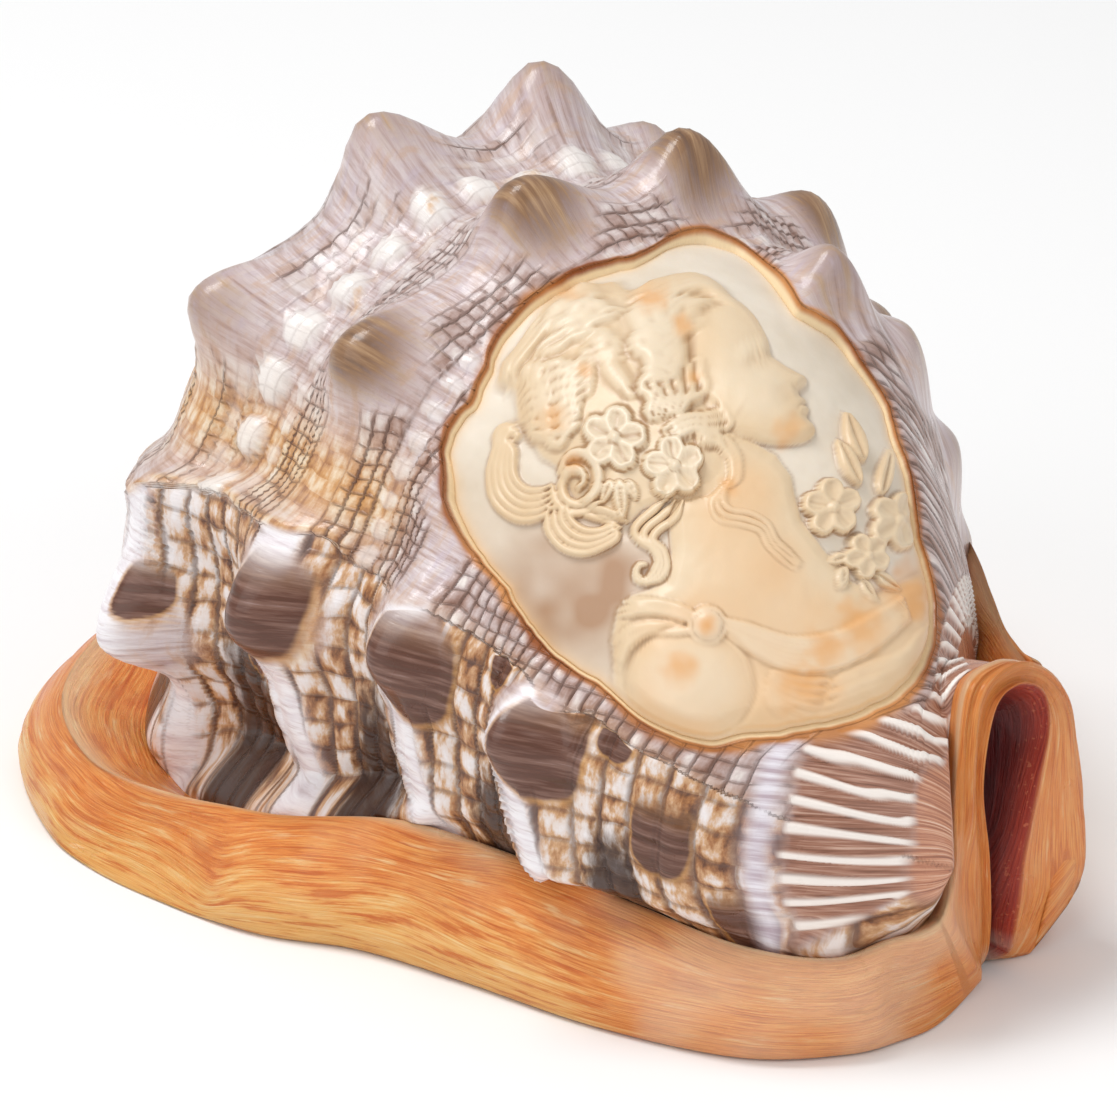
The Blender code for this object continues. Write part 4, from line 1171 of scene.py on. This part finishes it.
class Nodes:
    """Short calls for building one material's nodes, with the paint laid on so far."""

    def __init__(self, name):
        self.material = bpy.data.materials.new(name)
        self.material.use_nodes = True
        self.tree = self.material.node_tree
        self.surface = self.tree.nodes["Principled BSDF"]
        self.paint = None

    def new(self, kind, **settings):
        node = self.tree.nodes.new(kind)
        for key, value in settings.items():
            setattr(node, key, value)
        return node

    def feed(self, socket, value):
        """Sets a socket to a number or colour, or links it to another node's output."""
        if isinstance(value, (int, float)):
            socket.default_value = value
        elif isinstance(value, tuple):
            socket.default_value = value + (1,)
        else:
            self.tree.links.new(value, socket)

    def attribute(self, name, output="Fac"):
        return self.new("ShaderNodeAttribute", attribute_name=name).outputs[output]

    def axes(self, vector):
        """The three values of a vector."""
        node = self.new("ShaderNodeSeparateXYZ")
        self.feed(node.inputs[0], vector)
        return node.outputs

    def split(self, name):
        """The four values of a colour attribute."""
        source = self.new("ShaderNodeAttribute", attribute_name=name)
        parts = self.new("ShaderNodeSeparateColor")
        self.feed(parts.inputs[0], source.outputs["Color"])
        return parts.outputs[0], parts.outputs[1], parts.outputs[2], source.outputs["Alpha"]

    def noise(self, scale, detail, vector=None, stretch=None, rough=0.55):
        node = self.new("ShaderNodeTexNoise")
        node.inputs["Scale"].default_value = scale
        node.inputs["Detail"].default_value = detail
        node.inputs["Roughness"].default_value = rough
        if vector is None:
            vector = self.new("ShaderNodeTexCoord").outputs["Object"]
        if stretch is not None:
            mapping = self.new("ShaderNodeMapping")
            mapping.inputs["Scale"].default_value = stretch
            self.feed(mapping.inputs["Vector"], vector)
            vector = mapping.outputs["Vector"]
        self.feed(node.inputs["Vector"], vector)
        return node.outputs["Fac"]

    def ramp(self, value, stops):
        node = self.new("ShaderNodeValToRGB")
        band = node.color_ramp
        while len(band.elements) < len(stops):
            band.elements.new(0.5)
        for element, (place, *colour) in zip(band.elements, stops):
            element.position = place
            element.color = (*colour, 1)
        self.feed(node.inputs["Fac"], value)
        return node.outputs["Color"]

    def span(self, value, low, high, to_low=0.0, to_high=1.0, kind="LINEAR"):
        """Takes the range from low to high to the range from to_low to to_high."""
        node = self.new("ShaderNodeMapRange", interpolation_type=kind)
        for key, number in (("From Min", low), ("From Max", high), ("To Min", to_low), ("To Max", to_high)):
            node.inputs[key].default_value = number
        self.feed(node.inputs["Value"], value)
        return node.outputs["Result"]

    def step(self, value, low, high):
        """Smooth step of value from 0 at low to 1 at high, which may lie either way round."""
        if low < high:
            return self.span(value, low, high, 0.0, 1.0, "SMOOTHSTEP")
        return self.span(value, high, low, 1.0, 0.0, "SMOOTHSTEP")

    def maths(self, kind, a, b=0.0):
        node = self.new("ShaderNodeMath", operation=kind)
        self.feed(node.inputs[0], a)
        self.feed(node.inputs[1], b)
        return node.outputs[0]

    def plus(self, a, b):
        return self.maths("ADD", a, b)

    def times(self, first, *others):
        for other in others:
            first = self.maths("MULTIPLY", first, other)
        return first

    def swing(self, texture, size):
        """How far a texture is from its middle value, times size."""
        return self.times(self.maths("SUBTRACT", texture, 0.5), size)

    def edge_of(self, phase):
        """1 at the edges of a cord or bead and 0 in its middle."""
        from_middle = self.maths("SUBTRACT", self.maths("FRACT", phase), 0.5)
        return self.times(self.maths("ABSOLUTE", from_middle), 2.0)

    def chance(self, first_phase, second_phase):
        """A random number for each cell of two phases."""
        cell = self.new("ShaderNodeCombineXYZ")
        self.feed(cell.inputs[0], self.maths("FLOOR", first_phase))
        self.feed(cell.inputs[1], self.maths("FLOOR", second_phase))
        node = self.new("ShaderNodeTexWhiteNoise", noise_dimensions="2D")
        self.feed(node.inputs["Vector"], cell.outputs[0])
        return node.outputs["Value"]

    def mix(self, share, below, above):
        node = self.new("ShaderNodeMix", data_type="RGBA", blend_type="MIX")
        self.feed(node.inputs["Factor"], share)
        self.feed(node.inputs[6], below)
        self.feed(node.inputs[7], above)
        return node.outputs[2]

    def lay(self, colour, *shares):
        """Lays a colour over the paint, as strongly as the product of the shares."""
        self.paint = self.mix(self.times(*shares), self.paint, colour)

    def bump(self, height, distance, strength):
        node = self.new("ShaderNodeBump")
        node.inputs["Distance"].default_value = distance
        node.inputs["Strength"].default_value = strength
        self.feed(node.inputs["Height"], height)
        self.feed(self.surface.inputs["Normal"], node.outputs["Normal"])

    def finish(self, roughness, settings):
        """The finished material, with its paint, its roughness and other settings that stay constant."""
        self.feed(self.surface.inputs["Base Color"], self.paint)
        self.feed(self.surface.inputs["Roughness"], roughness)
        for key, value in settings.items():
            self.surface.inputs[key].default_value = value
        return self.material


def body_material():
    n = Nodes("shell_body")
    coil = n.attribute("coil", "Vector")
    cord_phase, bead_phase, riblet_phase = n.axes(n.attribute("weave", "Vector"))
    cap, patch, rib, below = n.split("fields_a")
    stain, neck, band, bead = n.split("fields_b")
    opened, smooth_band, hollow, fade = n.split("fields_c")
    x = n.axes(coil)[0]
    clouds = n.noise(90, 5)
    specks = n.noise(420, 3)
    growth = n.noise(5, 4, coil, (0.22, 2.2, 0.0), 0.6)
    hair_lines = n.noise(9, 3, coil, (0.25, 2.6, 0.0), 0.6)
    flow = n.noise(4, 5, coil, (1.6, 0.6, 0.0), 0.6)

    cord_edge = n.edge_of(cord_phase)
    bead_edge = n.edge_of(bead_phase)
    # The gaps between cords and beads: the mask for their painted shade and for their bump
    bead_groove = n.times(n.step(bead_edge, 0.74, 1.0), 0.6)
    groove = n.times(n.maths("MAXIMUM", n.step(cord_edge, 0.66, 1.0), bead_groove), opened)
    # Painted light: the middles of the cords and beads are nudged towards the paler end of the ramps below
    bead_top_light = n.times(n.step(cord_edge, 1.0, 0.25), n.step(bead_edge, 1.0, 0.25))
    patchy = n.plus(n.times(n.chance(cord_phase, bead_phase), 0.16), n.times(flow, 0.90))
    patchy = n.plus(patchy, n.times(bead_top_light, 0.10))

    # Smooth ridges: lilac and pinkish brown, streaked by growth lines
    n.paint = n.ramp(growth, RIDGES)
    n.lay(LILAC, n.step(flow, 0.50, 0.72), 0.7)
    n.lay(FAWN, n.step(flow, 0.50, 0.34), 0.55)
    n.lay(DARK_LINES, n.step(hair_lines, 0.50, 0.68), 0.25)
    # Beaded fields, browner towards the cameo, and ochre stains
    n.lay(n.mix(n.step(x, -0.2, 1.4), n.ramp(patchy, BEADS), n.ramp(patchy, BROWN_BEADS)), opened)
    n.lay(n.ramp(patchy, STAINED), stain, 0.9)
    # Below the growth stop: pale beads with ochre and dark brown among them, white ribs, and painted shade
    # in the gaps
    paler = n.times(n.step(x, -0.8, -2.4), 0.09)
    n.lay(n.ramp(n.plus(patchy, paler), CHECKS), below, n.times(opened, 0.95))
    n.lay(n.ramp(growth, WHITE_RIBS), rib, 0.97)
    n.lay(RIB_LINES, rib, n.step(hair_lines, 0.54, 0.70), 0.4)
    n.lay(n.mix(n.step(clouds, 0.60, 0.68), IVORY_BEAD, OCHRE_BEAD), bead, 0.8)
    # Painted shade in the gaps between the cords and beads
    n.lay(GROOVE_SHADE, groove, n.span(flow, 0.35, 0.65, 0.88, 0.62))
    # Brown tips of the knobs
    tip = n.plus(n.plus(cap, n.swing(growth, 0.9)), n.swing(clouds, 0.3))
    n.lay(n.ramp(growth, KNOB_TIPS), n.step(tip, 0.30, 0.85), 0.95)
    # Dark brown and painted shade in the hollows between the ribs, and the brown patches on them
    n.lay(HOLLOW_SHADE_BROWN, n.step(n.plus(hollow, n.swing(flow, 0.30)), 0.42, 0.22), 0.95)
    near = n.plus(patch, n.swing(clouds, 0.16))
    streaked = n.times(fade, n.span(growth, 0.2, 0.45, 0.75, 1.0))
    n.lay(n.ramp(growth, PATCH_HALO), n.step(near, 0.395, 0.335), n.times(streaked, 0.8))
    n.lay(n.ramp(growth, PATCH_BROWN), n.step(near, 0.350, 0.310), n.times(streaked, 0.97))
    # Canal end: neck, riblets and the smooth pale band
    n.lay(n.ramp(hair_lines, NECK_PLUM), neck, 0.95)
    n.lay(n.ramp(hair_lines, BETWEEN_RIBLETS), band)
    n.lay(RIBLET_WHITE, n.step(n.edge_of(riblet_phase), 0.52, 0.16), band)
    n.lay(n.ramp(growth, PALE_BAND), smooth_band, 0.9)
    # Rusty ring of the layer that the carver cut through, and the pale wall below it
    n.lay(n.ramp(clouds, RUSTY_RING), n.step(n.attribute("rust"), 0.25, 0.75))
    n.lay(CUT_WALL, n.step(n.attribute("cut"), 0.1, 0.5))
    fine = n.plus(n.times(hair_lines, 0.35), n.times(specks, 0.08))
    n.bump(n.plus(n.times(groove, -1.0), fine), 0.0004, 0.8)
    return n.finish(n.span(clouds, 0.3, 0.7, 0.24, 0.38), {
        "Specular IOR Level": 0.35,
        "Coat Weight": 0.25,
        "Coat Roughness": 0.10,
    })


def lip_material():
    n = Nodes("shell_lip")
    lip = n.attribute("lip", "Vector")
    depth, red, teeth, inner = n.split("lip_marks")
    across = n.axes(lip)[1]
    clouds = n.noise(60, 5)
    broad = n.noise(22, 3)
    lines = n.noise(5, 7, lip, (0.22, 4.6, 0.0), 0.7)
    streaks = n.noise(3.2, 5, lip, (0.35, 1.3, 0.0), 0.6)
    folds = n.noise(3, 3, lip, (0.5, 0.5, 0.0), 0.5)
    # Orange at the edge and honey lower down, with streaks along the lip
    n.paint = n.ramp(lines, ORANGE)
    low = n.plus(n.times(depth, 0.85), n.swing(streaks, 1.6))
    n.lay(n.ramp(lines, HONEY), n.step(low, 0.25, 0.75))
    n.lay(PALE_STREAKS, n.step(streaks, 0.56, 0.74), 0.55)
    n.lay(RED_STREAKS, n.step(streaks, 0.48, 0.36), 0.60)
    n.lay(LIGHT_FOLDS, n.step(folds, 0.50, 0.80), 0.25)
    n.lay(LIP_BLOOM, n.step(broad, 0.58, 0.70), 0.30)
    n.lay(WORN_EDGE, n.step(across, 0.7, 1.2), n.step(across, 2.1, 1.6), 0.5)
    # Red of the canal, darker further in, where painted shade takes it almost to black
    grains = n.step(n.noise(1400, 2), 0.60, 0.72)
    n.lay(n.mix(grains, n.ramp(lines, CANAL_RED), RED_GRAINS), n.step(red, 0.05, 0.35))
    n.lay(n.ramp(lines, CANAL_RED_INTO_SHADE), n.step(red, 0.42, 0.75))
    n.lay(TEETH, teeth, 0.7)
    n.lay(n.ramp(clouds, LINING), inner)
    pits = n.times(n.step(n.noise(260, 2), 0.30, 0.22), 0.6)
    n.bump(n.maths("SUBTRACT", lines, pits), 0.0005, 0.7)
    return n.finish(n.span(clouds, 0.3, 0.7, 0.22, 0.40), {
        "Specular IOR Level": 0.3,
        "Coat Weight": 0.2,
        "Coat Roughness": 0.12,
        "Subsurface Weight": 0.1,
        "Subsurface Radius": (0.005, 0.002, 0.001),
    })


def cameo_material():
    n = Nodes("cameo")
    figure, stain, dusk, rim = n.split("cameo_marks")
    height, hollow, warmth = n.axes(n.attribute("carving", "Vector"))
    clouds = n.noise(70, 4)
    carving = n.mix(warmth, n.ramp(clouds, CARVING), SKIN)
    carving = n.mix(n.times(n.step(height, 1.4, 2.3), 0.35), carving, CARVING_TOPS)
    n.paint = n.ramp(clouds, GROUND)
    # Painted shade on the ground behind the neck
    n.lay(GROUND_SHADE_BROWN, dusk, 0.85)
    n.lay(carving, figure)
    # Painted shade in the hollows of the carving
    n.lay(CARVING_HOLLOW_SHADE, hollow, 0.85)
    n.lay(STAIN, stain, n.span(clouds, 0.35, 0.6, 0.35, 0.75))
    n.lay(RIM_GLOW, rim, 0.7)
    n.bump(n.noise(500, 3), 0.00008, 0.5)
    return n.finish(0.42, {
        "Coat Weight": 0.1,
        "Coat Roughness": 0.2,
        "Subsurface Weight": 0.06,
        "Subsurface Radius": (0.0015, 0.001, 0.0006),
    })


def floor_material():
    n = Nodes("floor")
    n.paint = (0.93, 0.93, 0.93)
    return n.finish(0.8, {})


# Lip's teeth and growth marks, and the rings of the cavity's ceiling
TOOTH_SPACING = 5.0
TOOTH_REACH = 1.1
TOOTH_DROP = 0.9
RIPPLE_HEIGHT = 0.22
LEDGE_HEIGHT = 0.45
CEILING_RINGS = 18


def make_body(groove):
    rings, attributes = body_rings(groove)
    return grid_object("shell_body", rings, attributes, body_material())


def by_face(face, places, values):
    """A value for each ring of the lip, from values at some places on its face."""
    return np.interp(face, places, values)[:, None]


def tooth_swell(face, aperture):
    """From 0 to 1, how far each point stands on one of the teeth along both sides of the aperture."""
    step = np.linalg.norm(np.diff(aperture, axis=0, append=aperture[:1]), axis=1)
    run = np.cumsum(step) - step
    turns = round(step.sum() / TOOTH_SPACING)
    wave = 0.5 + 0.5 * np.cos(2 * math.pi * turns * run / step.sum())
    toothed = smooth((wave - 0.2) / 0.6) * (1 - smooth((aperture[:, 2] - 2.2) / 2.5))
    return by_face(face, (7.2, 8.4, 9.0, 9.4, 10.0), (0, 0.7, 1.0, 0.8, 0)) * toothed


def growth_swell(face, length):
    """Height of the growth lines and the ledge on the face of the lip."""
    across = face[:, None]
    sway = noise(length / 16, across * 0.8, 41)
    ripple = noise(across * 4.5 + sway * 1.2, length / 22, 42)
    ledge = smooth((across - 3.6 - 0.35 * sway) / 0.35) * (1 - smooth((across - 4.6) / 1.0))
    on_face = by_face(face, (0.6, 1.5, 2.5, 5, 5.8), (0, 0.5, 1, 1, 0))
    return (RIPPLE_HEIGHT * ripple + LEDGE_HEIGHT * ledge) * on_face


def make_lip(ground, edge, aperture, groove):
    rings, face, outward, foot = lip_rings(ground, edge, aperture, groove)
    steps = np.linalg.norm(np.diff(ground + aperture, axis=0), axis=1) / 2
    length = np.concatenate([[0], np.cumsum(steps)])[None]
    tooth = tooth_swell(face, aperture)[..., None]
    to_gap = unit((aperture - ground) * np.array([1, 1, 0]))
    rings = rings + to_gap * tooth * TOOTH_REACH - np.array([0, 0, 1]) * tooth * TOOTH_DROP
    rings[..., 2] = np.maximum(rings[..., 2], 0.0)
    rings = rings + outward * growth_swell(face, length)[..., None]
    ceiling = ceiling_rings(foot, CEILING_RINGS)
    ahead = cameo_axes()[0]
    top = CORE + ahead * cast(ahead[None], WALL, True)[0]
    rings = np.concatenate([rings, ceiling])
    tooth = np.concatenate([tooth[..., 0], np.zeros(ceiling.shape[:2])])
    face = np.concatenate([face, 12 + np.arange(1, len(ceiling) + 1) / 3])
    # Dark red inside the canal, with painted shade deeper in, a thin red edge round its mouth, and a pale
    # lining in the cavity
    canal = smooth((ground[:, 2] - 2) / 6)
    in_canal = smooth((rings[..., 0] - 36) / 16)
    depth = by_face(face, (8.5, 8.9, 9.3, 10), (0, 0.4, 0.75, 1))
    red = np.maximum(depth * in_canal, by_face(face, (0, 1.2, 2.0), (0.0, 0.12, 0)) * canal)
    inner = by_face(face, (9.2, 10.2), (0, 1)) * (1 - in_canal)
    low = by_face(face, (2.2, 4.5, 6, 8), (0, 0.7, 1, 0.6)) * (1 - smooth((ground[:, 0] - 40) / 30))
    wander = noise(length / 13, face[:, None] * 0.5, 43)
    across = face[:, None] + 0.3 * wander
    return grid_object("shell_lip", rings, {
        "lip": np.stack([length / 10 + 0 * across, across, 0 * across], axis=-1),
        "lip_marks": np.clip(np.stack([low * (1 - canal), red, tooth, inner], axis=-1), 0, 1),
    }, lip_material(), tip=top)


def front_view(points):
    """Millimetres right of and above the relief's middle, as the carver faced it."""
    ahead = unit(CAMERA_TARGET - CAMERA_PLACE)
    right = unit(np.cross(ahead, np.array([0.0, 0.0, 1.0])))
    away = points - CAMERA_PLACE
    depth = away @ ahead / FOCAL_PIXELS
    x = away @ right / depth - RELIEF_RIGHT
    y = away @ np.cross(right, ahead) / depth - RELIEF_UP
    return x / RELIEF_SCALE, y / RELIEF_SCALE


def softened(height):
    """Height averaged with its neighbours, as the graver's tool rounds each edge."""
    height = (np.roll(height, 1, 1) + 2 * height + np.roll(height, -1, 1)) / 4
    padded = np.concatenate([height[:1], height, height[-1:]])
    return (padded[:-2] + 2 * padded[1:-1] + padded[2:]) / 4


def cameo_marks(x, y, height, inside):
    """How much each point belongs to the figure, to a stain, to the painted brown shade on the ground and to
    the rim.
    """
    wander = 0.25 * noise(x / 1.1, y / 1.1, 73) + 0.2 * noise(x / 2.7, y / 2.7, 74)
    stains = np.zeros_like(x)
    for sx, sy, size in STAINS:
        stains = np.maximum(stains, 1 - smooth((np.hypot(x - sx, y - sy) / size + wander - 0.1) / 1.1))
    # Painted shade on the low ground behind the neck
    sx, sy, wide, tall, reach = DUSK
    dusk = bump(np.hypot((x - sx) / wide, (y - sy) / tall), reach) * (1 - smooth(height / 0.5))
    dusk = 1.5 * dusk * (0.8 + 0.3 * noise(x / 3, y / 3, 75))
    return np.clip(np.stack([smooth(height / 0.6), stains, dusk, np.exp(-inside / 0.7)], axis=-1), 0, 1)


def carved_hollow_shade(height, radius):
    """Painted shade where the carving bends up from its lowest places."""
    rings_apart = np.gradient(np.gradient(height, axis=0), axis=0) / 0.25 ** 2
    lines_apart = np.roll(height, 1, 1) + np.roll(height, -1, 1) - 2 * height
    spacing = np.maximum(2 * math.pi * radius / LINES, 0.12)
    return np.clip((rings_apart + lines_apart / spacing ** 2) * 0.14, 0, 1)


def make_cameo(groove):
    _, _, steady, rim = lines_to_cameo(groove)
    shares = np.linspace(1, 0, CAMEO_RINGS)[:, None]
    directions = from_polar(rim * 0.985 * shares, steady[None])
    points = CORE + directions * (cast(directions, plain=True) - CAMEO_DEPTH)[..., None]
    x, y = front_view(points)
    inside = (1 - shares) * rim * CAMEO_PLANE
    edge = smooth(inside / 1.2)
    height, bust_depth, hair_depth = relief(x, y)
    height = softened(height) * (0.45 + 0.55 * smooth(inside / 3.0)) * edge
    # Marks of the graver on the ground and the gentle swell of the skin
    tool = 0.05 * noise(x / 1.3, y / 1.3, 71) + 0.08 * noise(x / 4, y / 4, 72)
    points = points + directions * (height + tool * edge)[..., None]
    # The outermost ring goes under the rim
    points[0] -= directions[0] * 0.8
    # Skin and cloth are warmer than the hair
    warmth = smooth(bust_depth / 4 - 0.2) * (1 - smooth(hair_depth)) * (0.55 + 0.3 * noise(x / 5, y / 5, 77))
    # Painted shade for the hollows of the carving
    hollow = carved_hollow_shade(height, CAMEO_PLANE * np.tan(rim * shares))
    carving = np.stack([height, hollow, np.clip(warmth, 0, 1)], axis=-1)
    return grid_object("shell_cameo", points[:-1], {
        "cameo_marks": cameo_marks(x, y, height, inside)[:-1],
        "carving": carving[:-1],
    }, cameo_material(), tip=points[-1, 0])


FLOOR_HALF = 3.0
FLOOR_DROP = 0.0002
# Lights, all aimed at one point: name, place in metres, side and power
LIGHTS = (
    ("key", (-0.30, -0.25, 1.05), 0.45, 6.5),
    ("front", (0.15, -0.95, 0.55), 0.8, 2.6),
    ("side", (0.95, 0.15, 0.50), 0.8, 2.6),
)
LIGHT_TARGET = (0, 0, 0.04)
WORLD_STRENGTH = 0.5


def make_floor():
    corners = [(x * FLOOR_HALF, y * FLOOR_HALF, 0) for x, y in ((-1, -1), (1, -1), (1, 1), (-1, 1))]
    mesh = bpy.data.meshes.new("floor")
    mesh.from_pydata(corners, [], [(0, 1, 2, 3)])
    mesh.materials.append(floor_material())
    floor = place_in_scene("floor", mesh)
    floor.location.z = -FLOOR_DROP
    return floor


def aim(thing, place, target):
    thing.location = place
    thing.rotation_euler = (Vector(target) - Vector(place)).to_track_quat("-Z", "Y").to_euler()


def studio():
    world = bpy.data.worlds.new("studio")
    bpy.context.scene.world = world
    world.use_nodes = True
    backdrop = world.node_tree.nodes["Background"]
    backdrop.inputs["Color"].default_value = (1, 1, 1, 1)
    backdrop.inputs["Strength"].default_value = WORLD_STRENGTH
    for name, place, side, power in LIGHTS:
        data = bpy.data.lights.new(name, "AREA")
        data.shape = "SQUARE"
        data.size = side
        data.energy = power
        aim(place_in_scene(name, data), place, LIGHT_TARGET)


def add_camera():
    bpy.context.scene.view_settings.view_transform = "Standard"
    data = bpy.data.cameras.new("camera")
    data.sensor_width = SENSOR
    data.lens = FOCAL_PIXELS / FRAME_PIXELS * SENSOR
    data.clip_end = 20
    camera = place_in_scene("camera", data)
    aim(camera, (CAMERA_PLACE - SHIFT) * MM, (CAMERA_TARGET - SHIFT) * MM)
    bpy.context.scene.camera = camera


def main():
    ground, edge, aperture, groove = rails(line_stations())
    pieces = [make_body(groove), make_lip(ground, edge, aperture, groove), make_cameo(groove)]
    for piece in pieces:
        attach(piece, "root")
        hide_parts("shell")
    make_floor()
    studio()
    add_camera()


main()
